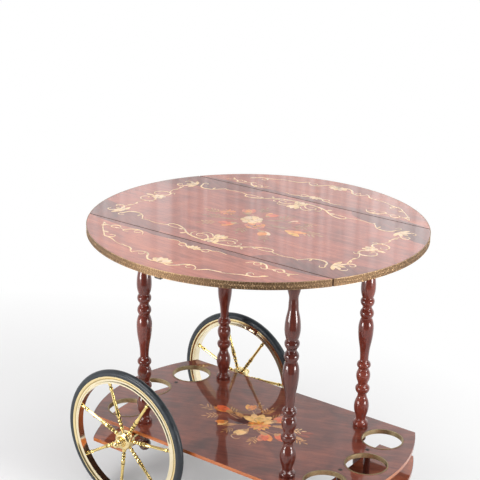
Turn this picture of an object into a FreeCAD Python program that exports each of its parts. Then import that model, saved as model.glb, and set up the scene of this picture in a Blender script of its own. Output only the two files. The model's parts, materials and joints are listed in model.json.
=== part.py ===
import FreeCAD, Part
import math
import os
import Sketcher

# Bar cart: a round top with two drop leaves on four turned columns, a shelf cut from the same circle
# with bottle holes at both ends, two spoked wheels on an axle and two swivel casters.
# Millimetres. The origin is on the floor under the centre of the top. X runs along the seams of the top,
# towards the caster end. Front is -Y, back is +Y, left (-X) is the wheel end, +Z is up.

SIZES = {
    "top_radius": 380.0,
    "top_thickness": 16.0,
    "band_thickness": 1.2,
    "seam_offset": 199.4,
    "seam_gap": 2.6,
    "shelf_radius": 380.0,
    "shelf_half_width": 200.0,
    "shelf_thickness": 8.5,
    "edging_thickness": 1.0,
    "rest_length": 148.0,
    "rest_thickness": 9.0,
    "rest_drop": 62.0,
    "bottle_hole_radius": 47.8,
    "bottle_side_inset": 99.7,
    "bottle_side_y": 122.3,
    "bottle_middle_inset": 69.5,
    "ring_wall": 1.4,
    "ring_drop": 1.5,
    "ring_lip_width": 1.2,
    "ring_lip_thickness": 0.8,
    "post_inset": 101.0,
    "post_y": 58.0,
    "post_radius": 7.5,
    "post_screw_radius": 2.2,
    "post_screw_head_radius": 5.0,
    "post_screw_head_depth": 3.0,
    "post_screw_bite": 6.0,
    "column_inset": 177.5,
    "column_side_inset": 46.9,
    "dowel_radius": 9.0,
    "dowel_depth": 23.5,
    "tenon_radius": 8.0,
    "tenon_depth": 9.0,
    "bead_share": 0.68,
    "even_share": 0.5,
    "wheel_radius": 171.0,
    "wheel_shelf_gap": 4.3,
    "tyre_height": 14.0,
    "tyre_width": 18.0,
    "tyre_shoulder": 4.0,
    "rim_depth": 17.0,
    "rim_width": 17.0,
    "rim_wall": 3.4,
    "rim_base": 3.0,
    "rim_ridge": 3.2,
    "rim_bevel": 2.6,
    "rim_recess": 1.8,
    "spoke_count": 7,
    "spoke_tenon_radius": 2.2,
    "spoke_socket_depth": 5.0,
    "hub_length": 36.0,
    "hub_barrel_radius": 13.0,
    "hub_flange_radius": 25.0,
    "hub_flange_thickness": 13.0,
    "hub_face_radius": 18.0,
    "axle_radius": 5.0,
    "spacer_shelf_gap": 4.0,
    "axle_stub_radius": 4.0,
    "axle_stub_length": 9.0,
    "spacer_radius": 6.5,
    "washer_radius": 11.0,
    "washer_thickness": 1.5,
    "hinge_column_gap": 5.0,
    "hinge_length": 60.0,
    "hinge_plate_width": 26.0,
    "hinge_plate_thickness": 1.5,
    "hinge_knuckle_radius": 3.5,
    "hinge_pin_radius": 1.5,
    "hinge_drop": 4.0,
    "hinge_screw_radius": 1.5,
    "hinge_screw_head_radius": 3.0,
    "hinge_screw_head_height": 1.5,
    "hinge_screw_bite": 9.0,
    "hinge_screw_spacing": 36.0,
    "hinge_screw_offset": 17.0,
    "stay_arm_width": 14.0,
    "stay_arm_reach": 150.0,
    "stay_arm_height": 19.5,
    "stay_arm_ramp": 34.0,
    "stay_arm_bevel": 2.0,
    "stay_cheek_thickness": 2.5,
    "stay_cheek_height": 20.0,
    "stay_base_length": 58.0,
    "stay_plate_thickness": 2.5,
    "stay_plate_setback": 26.0,
    "stay_plate_wing": 16.0,
    "leg_foot_diameter": 22.0,
    "caster_wheel_radius": 25.0,
    "caster_wheel_width": 16.0,
    "caster_hub_radius": 9.0,
    "caster_tread_round": 4.0,
    "caster_trail": 18.0,
    "caster_side_gap": 1.0,
    "caster_cheek_thickness": 2.5,
    "caster_cheek_half_width": 9.0,
    "caster_crown_gap": 5.0,
    "caster_crown_thickness": 4.0,
    "caster_crown_radius": 13.0,
    "caster_stem_radius": 4.0,
    "caster_stem_length": 30.0,
    "caster_pin_radius": 3.0,
    "caster_pin_head_radius": 4.5,
    "caster_pin_head_height": 1.5,
    "socket_flange_radius": 13.0,
    "socket_flange_thickness": 3.0,
    "socket_tube_radius": 6.5,
    "socket_tube_length": 33.0,
    "fit_gap": 0.05,
    "running_clearance": 0.05,
    "running_gap": 0.3,
    "cut_reach": 5.0,
}

# How a turned outline reaches a station: along two tangent arcs, of which the bulging one is longer
# or both are equal, along one arc, or along a straight line.
CURVE = "curve"
EVEN = "even"
ROUND = "round"
LINE = "line"

# Turned pieces, from the lowest station up: name, rise from the station below, diameter, join.
COLUMN = (
    ("foot", 0.0, 34.5, LINE),
    ("foot_bead", 6.0, 36.0, ROUND),
    ("foot_neck", 12.0, 22.5, CURVE),
    ("low_egg", 32.0, 35.2, CURVE),
    ("low_neck", 30.0, 21.2, CURVE),
    ("low_bead", 16.0, 34.0, CURVE),
    ("bead_neck", 11.0, 23.2, CURVE),
    ("small_egg", 22.0, 33.0, CURVE),
    ("egg_neck", 17.5, 24.5, CURVE),
    ("vase_bead", 9.0, 32.4, CURVE),
    ("vase_foot", 13.0, 20.0, CURVE),
    ("vase_top", 79.5, 35.6, EVEN),
    ("vase_neck", 24.0, 25.4, ROUND),
    ("upper_bead", 12.0, 32.4, CURVE),
    ("middle_neck", 15.0, 21.8, CURVE),
    ("top_bead", 14.5, 32.4, CURVE),
    ("top_bead_neck", 10.0, 26.0, CURVE),
    ("baluster", 23.5, 34.4, ROUND),
    ("baluster_shoulder", 51.0, 21.6, CURVE),
    ("baluster_neck", 16.0, 20.0, CURVE),
    ("collar", 32.0, 30.0, CURVE),
    ("head", 38.0, 30.0, LINE),
)
FINIAL = (
    ("tip", 0.0, 8.0, LINE),
    ("ball", 14.5, 29.0, ROUND),
    ("neck", 16.5, 19.0, CURVE),
    ("collar", 9.0, 30.0, CURVE),
    ("head", 24.5, 30.0, LINE),
)
LEG = (
    ("shin", 0.0, 27.0, CURVE),
    ("shin_neck", 10.0, 19.0, CURVE),
    ("ball", 16.0, 29.0, CURVE),
    ("neck", 16.5, 19.0, CURVE),
    ("collar", 9.0, 30.0, CURVE),
    ("head", 24.5, 30.0, LINE),
)
SPOKE = (
    ("root", 0.0, 8.0, LINE),
    ("root_bead", 4.0, 9.5, ROUND),
    ("ring_neck", 6.0, 6.0, CURVE),
    ("ring", 5.0, 9.5, CURVE),
    ("bead_neck", 3.5, 6.5, CURVE),
    ("bead", 4.0, 10.0, CURVE),
    ("urn_neck", 4.0, 6.8, CURVE),
    ("urn", 7.0, 10.0, CURVE),
    ("shaft", 22.0, 7.2, CURVE),
)
SPOKE_TIP = (
    ("shaft", 0.0, 7.0, LINE),
    ("bead", 6.0, 9.2, CURVE),
    ("neck", 5.0, 6.6, CURVE),
    ("foot", 10.5, 8.8, CURVE),
)
CAP_NUT = (
    ("skirt", 0.0, 20.0, LINE),
    ("shoulder", 5.0, 20.0, LINE),
    ("groove", 2.5, 13.0, CURVE),
    ("acorn", 4.5, 15.0, CURVE),
    ("tip", 7.0, 5.0, ROUND),
)
TURNED = {
    "column": COLUMN,
    "finial": FINIAL,
    "leg": LEG,
    "spoke": SPOKE,
    "spoke_tip": SPOKE_TIP,
    "cap_nut": CAP_NUT,
}

ENDS = (("left", -1), ("right", 1))
SIDES = (("front", -1), ("back", 1))
# How far each wheel's first spoke stands above +X, in degrees.
SPOKE_ANGLE = {"front": 6.5, "back": 5.5}
RIGHT_ANGLE = 90.0
X_AXIS = FreeCAD.Vector(1, 0, 0)
Y_AXIS = FreeCAD.Vector(0, 1, 0)
Z_AXIS = FreeCAD.Vector(0, 0, 1)
TURN_TO = {
    "+Z": FreeCAD.Rotation(),
    "+X": FreeCAD.Rotation(Y_AXIS, 90),
    "+Y": FreeCAD.Rotation(X_AXIS, -90),
    "-Y": FreeCAD.Rotation(X_AXIS, 90),
}

doc = FreeCAD.newDocument("bar_cart")
sheet = doc.addObject("Spreadsheet::Sheet", "sizes")
nodes = {}


class Size:
    """A length with the expression that gives it, so that shapes are drawn and bound from one formula."""

    def __init__(self, text, number):
        self.text = text
        self.number = number

    def __add__(self, other):
        other = lift(other)
        return Size(f"({self.text} + {other.text})", self.number + other.number)

    def __sub__(self, other):
        other = lift(other)
        return Size(f"({self.text} - {other.text})", self.number - other.number)

    def __rsub__(self, other):
        return lift(other) - self

    def __mul__(self, other):
        other = lift(other)
        return Size(f"({self.text} * {other.text})", self.number * other.number)

    def __truediv__(self, other):
        other = lift(other)
        return Size(f"({self.text} / {other.text})", self.number / other.number)

    def __neg__(self):
        return Size(f"(0 - {self.text})", -self.number)

    __radd__ = __add__
    __rmul__ = __mul__


def lift(value):
    if isinstance(value, Size):
        return value
    return Size(f"({float(value)!r})", float(value))


def size(alias):
    """A driving dimension of the sheet."""
    return Size(f"sizes.{alias}", float(all_sizes[alias]))


def fill_sheet():
    """Puts the driving dimensions into the sheet, one aliased cell each."""
    table = dict(SIZES)
    for piece, stations in TURNED.items():
        for station, rise, diameter, join in stations:
            if rise:
                table[f"{piece}_{station}_rise"] = rise
            table[f"{piece}_{station}_diameter"] = diameter
    for row, (alias, number) in enumerate(table.items(), start=1):
        sheet.set(f"A{row}", alias)
        sheet.set(f"B{row}", str(number))
        sheet.setAlias(f"B{row}", alias)
    return table


all_sizes = fill_sheet()
doc.recompute()


# Placing and combining solids.

def bind(item, prop, length):
    item.setExpression(prop, lift(length).text)


def place(item, x, y, z, turn=FreeCAD.Rotation()):
    item.Placement = FreeCAD.Placement(FreeCAD.Vector(0, 0, 0), turn)
    for axis, length in zip("xyz", (x, y, z)):
        bind(item, f"Placement.Base.{axis}", length)
    return item


def keep(node, item):
    """Names a finished sub-part."""
    item.Label = node
    nodes[node] = item
    return item


def block(name, low, high):
    """A box between two corners."""
    box = doc.addObject("Part::Box", name)
    for prop, low_edge, high_edge in zip(("Length", "Width", "Height"), low, high):
        bind(box, prop, lift(high_edge) - low_edge)
    return place(box, *low)


def rod(name, foot, radius, length, direction="+Z"):
    """A cylinder from its foot along a direction."""
    cylinder = doc.addObject("Part::Cylinder", name)
    bind(cylinder, "Radius", radius)
    bind(cylinder, "Height", length)
    return place(cylinder, *foot, TURN_TO[direction])


def compound(name, items):
    group = doc.addObject("Part::Compound", name)
    group.Links = items
    return group


def cut(name, base, tools):
    result = doc.addObject("Part::Cut", name)
    result.Base = base
    result.Tool = tools[0] if len(tools) == 1 else compound(name + "_tools", tools)
    return result


def common(name, first, second):
    result = doc.addObject("Part::Common", name)
    result.Base = first
    result.Tool = second
    return result


def fuse(name, items):
    result = doc.addObject("Part::MultiFuse", name)
    result.Shapes = items
    return result


# Turned pieces.

def new_sketch(body, name, role):
    sketch = body.newObject("Sketcher::SketchObject", name)
    support = next(item for item in body.Origin.OriginFeatures if item.Role == role)
    sketch.AttachmentSupport = (support, [""])
    sketch.MapMode = "FlatFace"
    return sketch


def turning(piece, foot, first_rise=None):
    """Outer corners of a turned piece from its foot up: (radius, height, join) for each station."""
    corners = []
    height = lift(foot)
    if first_rise is not None:
        height = height + first_rise
    for station, rise, diameter, join in TURNED[piece]:
        if rise:
            height = height + size(f"{piece}_{station}_rise")
        corners.append((size(f"{piece}_{station}_diameter") / 2, height, join))
    return corners


def turned_length(piece):
    """The height of a turned piece: its rises added up."""
    return turning(piece, 0.0)[-1][1]


def with_joints(corners):
    """Splits each curved join into two tangent arcs; an arc's centre is level with its station."""
    result = []
    previous = corners[-1]
    for radius, height, join in corners:
        rises_outward = lift(radius).number > lift(previous[0]).number
        if join in (CURVE, EVEN):
            bulge = size("bead_share" if join == CURVE else "even_share")
            share = 1 - bulge if rises_outward else bulge
            middle_radius = previous[0] + (radius - previous[0]) * share
            middle_height = previous[1] + (height - previous[1]) * share
            result.append((middle_radius, middle_height, "level_start"))
            result.append((radius, height, "level_end"))
        elif join == ROUND:
            result.append((radius, height, "level_end" if rises_outward else "level_start"))
        else:
            result.append((radius, height, join))
        previous = (radius, height)
    return result


def arc_between(start, end, level):
    """An arc whose centre is level with one of its ends, and whether it runs from end to start."""
    rise = end[1] - start[1]
    if level == "level_start":
        centre_y = start[1]
        centre_x = (end[0] ** 2 - start[0] ** 2 + rise ** 2) / (2 * (end[0] - start[0]))
    else:
        centre_y = end[1]
        centre_x = (start[0] ** 2 - end[0] ** 2 + rise ** 2) / (2 * (start[0] - end[0]))
    centre = FreeCAD.Vector(centre_x, centre_y, 0)
    first = FreeCAD.Vector(*start, 0) - centre
    last = FreeCAD.Vector(*end, 0) - centre
    backwards = first.cross(last).z < 0
    if backwards:
        first, last = last, first
    first_angle = math.atan2(first.y, first.x)
    last_angle = math.atan2(last.y, last.x)
    circle = Part.Circle(centre, Z_AXIS, first.Length)
    return Part.ArcOfCircle(circle, first_angle, last_angle), backwards


def draw_outline(sketch, corners):
    """Draws a closed outline of (across, along, join) corners and binds every corner to its sizes."""
    corners = [(lift(across), lift(along), join) for across, along, join in with_joints(corners)]
    points = [(across.number, along.number) for across, along, join in corners]
    count = len(corners)
    ends = []
    for index in range(count):
        start = points[index - 1]
        end = points[index]
        join = corners[index][2]
        backwards = False
        if join == LINE:
            shape = Part.LineSegment(FreeCAD.Vector(*start, 0), FreeCAD.Vector(*end, 0))
        else:
            shape, backwards = arc_between(start, end, join)
        sketch.addGeometry(shape)
        ends.append((2, 1) if backwards else (1, 2))
    constraints = []
    bindings = []
    for index, (across, along, join) in enumerate(corners):
        start_point, end_point = ends[index]
        following = (index + 1) % count
        constraints.append(Sketcher.Constraint("Coincident", index, end_point, following, ends[following][0]))
        if join == "level_start":
            constraints.append(Sketcher.Constraint("Horizontal", index, 3, index, start_point))
        if join == "level_end":
            constraints.append(Sketcher.Constraint("Horizontal", index, 3, index, end_point))
        for kind, length, axis in (("DistanceX", across, -2), ("DistanceY", along, -1)):
            if length.number == 0:
                constraints.append(Sketcher.Constraint("PointOnObject", index, end_point, axis))
            else:
                bindings.append((len(constraints), length))
                constraints.append(Sketcher.Constraint(kind, -1, 1, index, end_point, length.number))
    sketch.addConstraint(constraints)
    for index, length in bindings:
        sketch.setExpression(f"Constraints[{index}]", length.text)


def turned_body(name, corners, role="XZ_Plane"):
    """A body turned about the upright axis of its sketch: Z of the XZ plane or Y of the XY plane."""
    body = doc.addObject("PartDesign::Body", name)
    sketch = new_sketch(body, name + "_outline", role)
    draw_outline(sketch, corners)
    revolution = body.newObject("PartDesign::Revolution", name + "_turned")
    revolution.Profile = sketch
    revolution.ReferenceAxis = (sketch, ["V_Axis"])
    revolution.Angle = 360.0
    body.Tip = revolution
    return body


def cross_hole(body, height, radius):
    """A round hole right through a turned body, along Y."""
    sketch = new_sketch(body, body.Name + "_hole_outline", "XZ_Plane")
    sketch.addGeometry(Part.Circle(FreeCAD.Vector(0, height.number, 0), Z_AXIS, radius.number))
    sketch.addConstraint(Sketcher.Constraint("PointOnObject", 0, 3, -2))
    across = sketch.addConstraint(Sketcher.Constraint("DistanceY", -1, 1, 0, 3, height.number))
    round_size = sketch.addConstraint(Sketcher.Constraint("Radius", 0, radius.number))
    sketch.setExpression(f"Constraints[{across}]", height.text)
    sketch.setExpression(f"Constraints[{round_size}]", radius.text)
    pocket = body.newObject("PartDesign::Pocket", body.Name + "_hole")
    pocket.Profile = sketch
    pocket.Type = "ThroughAll"
    pocket.SideType = "Symmetric"
    body.Tip = pocket


def around_axle(body, feature):
    """Repeats a feature around the wheel's axis, once for each spoke."""
    pattern = body.newObject("PartDesign::PolarPattern", body.Name + "_spread")
    pattern.Originals = [feature]
    axis = next(item for item in body.Origin.OriginFeatures if item.Role == "Y_Axis")
    pattern.Axis = (axis, [""])
    pattern.Angle = 360.0
    bind(pattern, "Occurrences", size("spoke_count"))
    body.Tip = pattern


def spoke_sockets(body, along, start, depth):
    """Radial round holes for the spokes' tenons, from a distance off the axis outwards."""
    radius = size("spoke_tenon_radius") + size("fit_gap")
    sketch = new_sketch(body, body.Name + "_socket_outline", "XY_Plane")
    bind(sketch, "AttachmentOffset.Base.z", start)
    sketch.addGeometry(Part.Circle(FreeCAD.Vector(0, along.number, 0), Z_AXIS, radius.number))
    sketch.addConstraint(Sketcher.Constraint("PointOnObject", 0, 3, -2))
    height = sketch.addConstraint(Sketcher.Constraint("DistanceY", -1, 1, 0, 3, along.number))
    round_size = sketch.addConstraint(Sketcher.Constraint("Radius", 0, radius.number))
    sketch.setExpression(f"Constraints[{height}]", along.text)
    sketch.setExpression(f"Constraints[{round_size}]", radius.text)
    pocket = body.newObject("PartDesign::Pocket", body.Name + "_socket")
    pocket.Profile = sketch
    pocket.Reversed = True
    bind(pocket, "Length", depth)
    body.Tip = pocket
    around_axle(body, pocket)


# Heights and places that follow from the driving dimensions.

axle_height = size("wheel_radius")
shelf_bottom = axle_height + size("spacer_radius") + size("spacer_shelf_gap")
shelf_top = shelf_bottom + size("shelf_thickness")
column_height = turned_length("column")
top_bottom = shelf_top + column_height
top_surface = top_bottom + size("top_thickness")
rest_top = shelf_top - size("rest_drop")
rest_bottom = rest_top - size("rest_thickness")
hinge_height = top_bottom - size("hinge_drop")
column_x = size("shelf_radius") - size("column_inset")
column_y = size("shelf_half_width") - size("column_side_inset")
bottle_side_x = size("shelf_radius") - size("bottle_side_inset")
bottle_middle_x = size("shelf_radius") - size("bottle_middle_inset")
post_x = size("shelf_radius") - size("post_inset")
rest_inner_edge = size("shelf_radius") - size("rest_length")
column_head_edge = column_x - size("column_head_diameter") / 2
hinge_x = column_head_edge - size("hinge_column_gap") - size("hinge_length") / 2
wheel_offset = size("shelf_half_width") + size("wheel_shelf_gap") + size("hub_length") / 2
panel_edge = size("seam_offset") - size("seam_gap") / 2
leaf_edge = size("seam_offset") + size("seam_gap") / 2
panel_radius = size("top_radius") - size("band_thickness") - size("fit_gap")
caster_crown_bottom = 2 * size("caster_wheel_radius") + size("caster_crown_gap")
caster_crown_top = caster_crown_bottom + size("caster_crown_thickness")
leg_bottom = caster_crown_top + size("running_gap") + size("socket_flange_thickness")
finial_bottom = shelf_bottom - turned_length("finial")
reach = size("cut_reach")
fit = size("fit_gap")


# Boards.

def disc_slice(name, radius, low, high):
    """The part of a round board between two corners."""
    disc = rod(name + "_disc", (0, 0, low[2]), radius, high[2] - low[2])
    slab = block(name + "_slab", (low[0], low[1], low[2] - reach), (high[0], high[1], high[2] + reach))
    return common(name, disc, slab)


def band_slice(name, low, high):
    """A length of the metal band round the top."""
    whole = disc_slice(name + "_whole", size("top_radius"), low, high)
    inner = size("top_radius") - size("band_thickness")
    core = rod(name + "_core", (0, 0, low[2] - reach), inner, high[2] - low[2] + 2 * reach)
    return cut(name, whole, [core])


def hinge_screw_points(side):
    """Places of the hinge screws on one side of one seam: side -1 is the fixed panel, 1 the leaf."""
    away = side * size("hinge_screw_offset")
    points = []
    for end, x_sign in ENDS:
        for spread in (-0.5, 0.5):
            x = x_sign * hinge_x + spread * size("hinge_screw_spacing")
            points.append((x, size("seam_offset") + away))
    return points


def stay_screw_points():
    """Places of the screws through the wings of one stay bracket."""
    cheek = size("stay_arm_width") / 2 + size("running_gap") + size("stay_cheek_thickness")
    x = cheek + size("stay_plate_wing") / 2
    y = size("seam_offset") - (size("stay_base_length") + size("stay_plate_setback")) / 2
    return [(-x, y), (x, y)]


def screw_pilots(name, points):
    """Blind pilot holes in the underside of the top."""
    depth = size("hinge_screw_bite") + fit
    radius = size("hinge_screw_radius") + fit
    tools = []
    for index, (x, y) in enumerate(points):
        tools.append(rod(f"{name}_pilot_{index}", (x, y, top_bottom - reach), radius, depth + reach))
    return tools


def make_centre_panel():
    low = (-panel_radius, -panel_edge, top_bottom)
    high = (panel_radius, panel_edge, top_surface)
    board = disc_slice("centre_board", panel_radius, low, high)
    tools = []
    for end, x_sign in ENDS:
        for side, y_sign in SIDES:
            foot = (x_sign * column_x, y_sign * column_y, top_bottom - reach)
            depth = size("tenon_depth") + fit + reach
            tools.append(rod(f"tenon_hole_{side}_{end}", foot, size("tenon_radius") + fit, depth))
    for side, y_sign in SIDES:
        points = [(x, y_sign * y) for x, y in hinge_screw_points(-1) + stay_screw_points()]
        tools += screw_pilots(f"centre_{side}", points)
    keep("centre_panel", cut("centre_panel", board, tools))


def make_centre_bands():
    radius = size("top_radius")
    for end, x_sign in ENDS:
        low_x, high_x = (-radius, 0) if x_sign < 0 else (0, radius)
        name = f"centre_band_{end}"
        band = band_slice(name, (low_x, -panel_edge, top_bottom), (high_x, panel_edge, top_surface))
        keep(name, band)


def make_leaves():
    radius = size("top_radius")
    for side, y_sign in SIDES:
        low_y, high_y = (-radius, -leaf_edge) if y_sign < 0 else (leaf_edge, radius)
        low = (-radius, low_y, top_bottom)
        high = (radius, high_y, top_surface)
        board = disc_slice(f"leaf_board_{side}", panel_radius, low, high)
        points = [(x, y_sign * y) for x, y in hinge_screw_points(1)]
        name = f"leaf_panel_{side}"
        keep(name, cut(name, board, screw_pilots(f"leaf_{side}", points)))
        band_name = f"leaf_band_{side}"
        keep(band_name, band_slice(band_name, low, high))


def bottle_holes():
    """Name and place of each bottle hole."""
    holes = []
    for end, x_sign in ENDS:
        holes.append((f"middle_{end}", x_sign * bottle_middle_x, lift(0)))
        for side, y_sign in SIDES:
            x = x_sign * bottle_side_x
            holes.append((f"{side}_{end}", x, y_sign * size("bottle_side_y")))
    return holes


def post_points():
    """Name and place of each post between the shelf and a bottle rest."""
    points = []
    for end, x_sign in ENDS:
        for side, y_sign in SIDES:
            points.append((f"{side}_{end}", x_sign * post_x, y_sign * size("post_y")))
    return points


def shelf_slice(name, inset, low_x, high_x, bottom, top):
    """A board with the shelf's outline, drawn in by an inset, between two X places."""
    half_width = size("shelf_half_width") - inset
    return disc_slice(name, size("shelf_radius") - inset, (low_x, -half_width, bottom), (high_x, half_width, top))


def make_shelf():
    edge = size("edging_thickness")
    radius = size("shelf_radius")
    inset = edge + fit
    board = shelf_slice("shelf_blank", inset, -radius, radius, shelf_bottom, shelf_top)
    low = shelf_bottom - reach
    height = size("shelf_thickness") + 2 * reach
    tools = []
    for name, x, y in bottle_holes():
        tools.append(rod(f"bottle_hole_{name}", (x, y, low), size("bottle_hole_radius"), height))
    for end, x_sign in ENDS:
        for side, y_sign in SIDES:
            foot = (x_sign * column_x, y_sign * column_y, low)
            tools.append(rod(f"dowel_hole_{side}_{end}", foot, size("dowel_radius") + fit, height))
    for name, x, y in post_points():
        tools.append(screw_hole(name, x, y))
    keep("shelf_board", cut("shelf_board", board, tools))
    outer = shelf_slice("shelf_edging_outer", lift(0), -radius, radius, shelf_bottom, shelf_top)
    inner = shelf_slice("shelf_edging_inner", edge, -radius, radius, shelf_bottom - reach, shelf_top + reach)
    keep("shelf_edging", cut("shelf_edging", outer, [inner]))


def screw_hole(name, x, y):
    """Shank hole and countersink for a post screw in the shelf."""
    shank = size("post_screw_radius") + fit
    head = size("post_screw_head_radius") + fit
    depth = size("post_screw_head_depth")
    foot = shelf_bottom - reach
    hole = rod(f"screw_hole_{name}", (x, y, foot), shank, shelf_top - depth / 2 - foot)
    sink = doc.addObject("Part::Cone", f"screw_sink_{name}")
    bind(sink, "Radius1", shank)
    bind(sink, "Radius2", head)
    bind(sink, "Height", depth)
    place(sink, x, y, shelf_top - depth)
    return fuse(f"screw_seat_{name}", [hole, sink])


def make_bottle_rests():
    edge = size("edging_thickness")
    radius = size("shelf_radius")
    inner_x = rest_inner_edge
    inset = edge + fit
    edgings = []
    for end, x_sign in ENDS:
        def span(inset_x):
            near = x_sign * (inner_x + inset_x)
            far = x_sign * radius
            return (far, near) if x_sign < 0 else (near, far)
        board = shelf_slice(f"rest_blank_{end}", inset, *span(inset), rest_bottom, rest_top)
        tools = []
        for name, x, y in post_points():
            if name.endswith(end):
                foot = (x, y, rest_top - size("post_screw_bite") - fit)
                depth = size("post_screw_bite") + fit + reach
                tools.append(rod(f"rest_pilot_{name}", foot, size("post_screw_radius") + fit, depth))
        keep(f"bottle_rest_{end}", cut(f"bottle_rest_{end}", board, tools))
        outer = shelf_slice(f"rest_outer_{end}", lift(0), *span(lift(0)), rest_bottom, rest_top)
        inner = shelf_slice(f"rest_inner_{end}", edge, *span(edge), rest_bottom - reach, rest_top + reach)
        edgings.append(cut(f"rest_edging_{end}", outer, [inner]))
    keep("rest_edging", compound("rest_edging", edgings))


def make_bottle_rings():
    outer = size("bottle_hole_radius") - fit
    inner = outer - size("ring_wall")
    lip = size("bottle_hole_radius") + size("ring_lip_width")
    foot = shelf_bottom - size("ring_drop")
    depth = shelf_top - foot
    for name, x, y in bottle_holes():
        tube = rod(f"ring_tube_{name}", (x, y, foot), outer, depth)
        rim = rod(f"ring_rim_{name}", (x, y, shelf_top), lip, size("ring_lip_thickness"))
        height = depth + size("ring_lip_thickness") + 2 * reach
        bore = rod(f"ring_bore_{name}", (x, y, foot - reach), inner, height)
        node = f"bottle_ring_{name}"
        keep(node, cut(node, fuse(f"ring_blank_{name}", [tube, rim]), [bore]))


def make_rest_posts():
    posts = []
    screws = []
    shank = size("post_screw_radius")
    depth = size("post_screw_head_depth")
    length = shelf_bottom - rest_top
    for name, x, y in post_points():
        post = rod(f"post_{name}", (x, y, rest_top), size("post_radius"), length)
        bore = rod(f"post_bore_{name}", (x, y, rest_top - reach), shank + fit, length + 2 * reach)
        posts.append(cut(f"rest_post_{name}", post, [bore]))
        foot = rest_top - size("post_screw_bite")
        pin = rod(f"screw_shank_{name}", (x, y, foot), shank, shelf_top - depth / 2 - foot)
        head = doc.addObject("Part::Cone", f"screw_head_{name}")
        bind(head, "Radius1", shank)
        bind(head, "Radius2", size("post_screw_head_radius"))
        bind(head, "Height", depth)
        place(head, x, y, shelf_top - depth)
        screws.append(fuse(f"rest_screw_{name}", [pin, head]))
    keep("rest_posts", compound("rest_posts", posts))
    keep("rest_screws", compound("rest_screws", screws))


# Columns, finials and legs.

def make_columns():
    dowel = size("dowel_radius")
    tenon = size("tenon_radius")
    foot = size("dowel_depth") + size("shelf_thickness")
    head = foot + column_height
    tip = head + size("tenon_depth")
    base = shelf_top - foot
    for end, x_sign in ENDS:
        for side, y_sign in SIDES:
            corners = [(0, 0, LINE), (dowel, 0, LINE), (dowel, foot, LINE)]
            corners += turning("column", foot)
            corners += [(tenon, head, LINE), (tenon, tip, LINE), (0, tip, LINE)]
            name = f"column_{side}_{end}"
            body = turned_body(name, corners)
            if end == "left":
                cross_hole(body, axle_height - base, size("axle_radius") + fit)
            place(body, x_sign * column_x, y_sign * column_y, base)
            keep(name, body)


def make_finials():
    """Short turned ends under the left columns; the axle pins each one to its column's dowel."""
    socket = size("dowel_radius") + fit
    length = turned_length("finial")
    floor = length - size("dowel_depth") - fit
    for side, y_sign in SIDES:
        corners = [(0, 0, LINE)] + turning("finial", 0.0)
        corners += [(socket, length, LINE), (socket, floor, LINE), (0, floor, LINE)]
        name = f"finial_{side}"
        body = turned_body(name, corners)
        cross_hole(body, axle_height - finial_bottom, size("axle_radius") + fit)
        place(body, -column_x, y_sign * column_y, finial_bottom)
        keep(name, body)


def make_legs():
    """Legs under the right columns, bored below for the caster sockets."""
    socket = size("dowel_radius") + fit
    bore = size("socket_tube_radius") + fit
    length = shelf_bottom - leg_bottom
    shin_rise = length - turned_length("leg")
    floor = length - size("dowel_depth") - fit
    ceiling = size("socket_tube_length") + fit
    foot_radius = size("leg_foot_diameter") / 2
    for side, y_sign in SIDES:
        corners = [(0, ceiling, LINE), (bore, ceiling, LINE), (bore, 0, LINE), (foot_radius, 0, LINE)]
        corners += turning("leg", 0.0, shin_rise)
        corners += [(socket, length, LINE), (socket, floor, LINE), (0, floor, LINE)]
        name = f"leg_{side}"
        body = turned_body(name, corners)
        place(body, column_x, y_sign * column_y, leg_bottom)
        keep(name, body)


# Wheels and axle.

def make_axle():
    washer_face = wheel_offset + size("hub_length") / 2 + size("running_gap")
    end = washer_face + size("washer_thickness") + size("axle_stub_length")
    x = -column_x
    z = axle_height
    bar = rod("axle_bar", (x, -washer_face, z), size("axle_radius"), 2 * washer_face, "+Y")
    stub = rod("axle_stubs", (x, -end, z), size("axle_stub_radius"), 2 * end, "+Y")
    keep("axle_rod", fuse("axle_rod", [bar, stub]))
    make_axle_hardware(x, z, washer_face)


def make_axle_hardware(x, z, washer_face):
    """Spacer tubes inside the wheels, and washers and cap nuts outside them."""
    spacer_start = column_y + size("finial_collar_diameter") / 2 + fit
    spacer_end = wheel_offset - size("hub_length") / 2 - size("running_gap")
    washer = size("washer_thickness")
    spacers = []
    washers = []
    nuts = []
    for side, y_sign in SIDES:
        direction = "+Y" if y_sign > 0 else "-Y"
        length = spacer_end - spacer_start
        tube = rod(f"spacer_tube_{side}", (x, y_sign * spacer_start, z), size("spacer_radius"), length, direction)
        start = (x, y_sign * (spacer_start - reach), z)
        bore = rod(f"spacer_bore_{side}", start, size("axle_radius") + fit, length + 2 * reach, direction)
        spacers.append(cut(f"axle_spacer_{side}", tube, [bore]))
        face = (x, y_sign * washer_face, z)
        disc = rod(f"washer_disc_{side}", face, size("washer_radius"), washer, direction)
        start = (x, y_sign * (washer_face - reach), z)
        hole = rod(f"washer_hole_{side}", start, size("axle_stub_radius") + fit, washer + 2 * reach, direction)
        washers.append(cut(f"axle_washer_{side}", disc, [hole]))
        nuts.append(cap_nut(f"axle_cap_nut_{side}", x, y_sign * (washer_face + washer), z, direction))
    keep("axle_spacers", compound("axle_spacers", spacers))
    keep("axle_washers", compound("axle_washers", washers))
    keep("axle_cap_nuts", compound("axle_cap_nuts", nuts))


def cap_nut(name, x, y, z, direction):
    bore = size("axle_stub_radius") + fit
    depth = size("axle_stub_length") + fit
    top = turned_length("cap_nut")
    corners = [(0, depth, LINE), (bore, depth, LINE), (bore, 0, LINE)]
    corners += turning("cap_nut", 0.0) + [(0, top, LINE)]
    return place(turned_body(name, corners), x, y, z, TURN_TO[direction])


rim_outer = size("wheel_radius") - size("tyre_height")
rim_inner = rim_outer - size("rim_depth")


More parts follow.
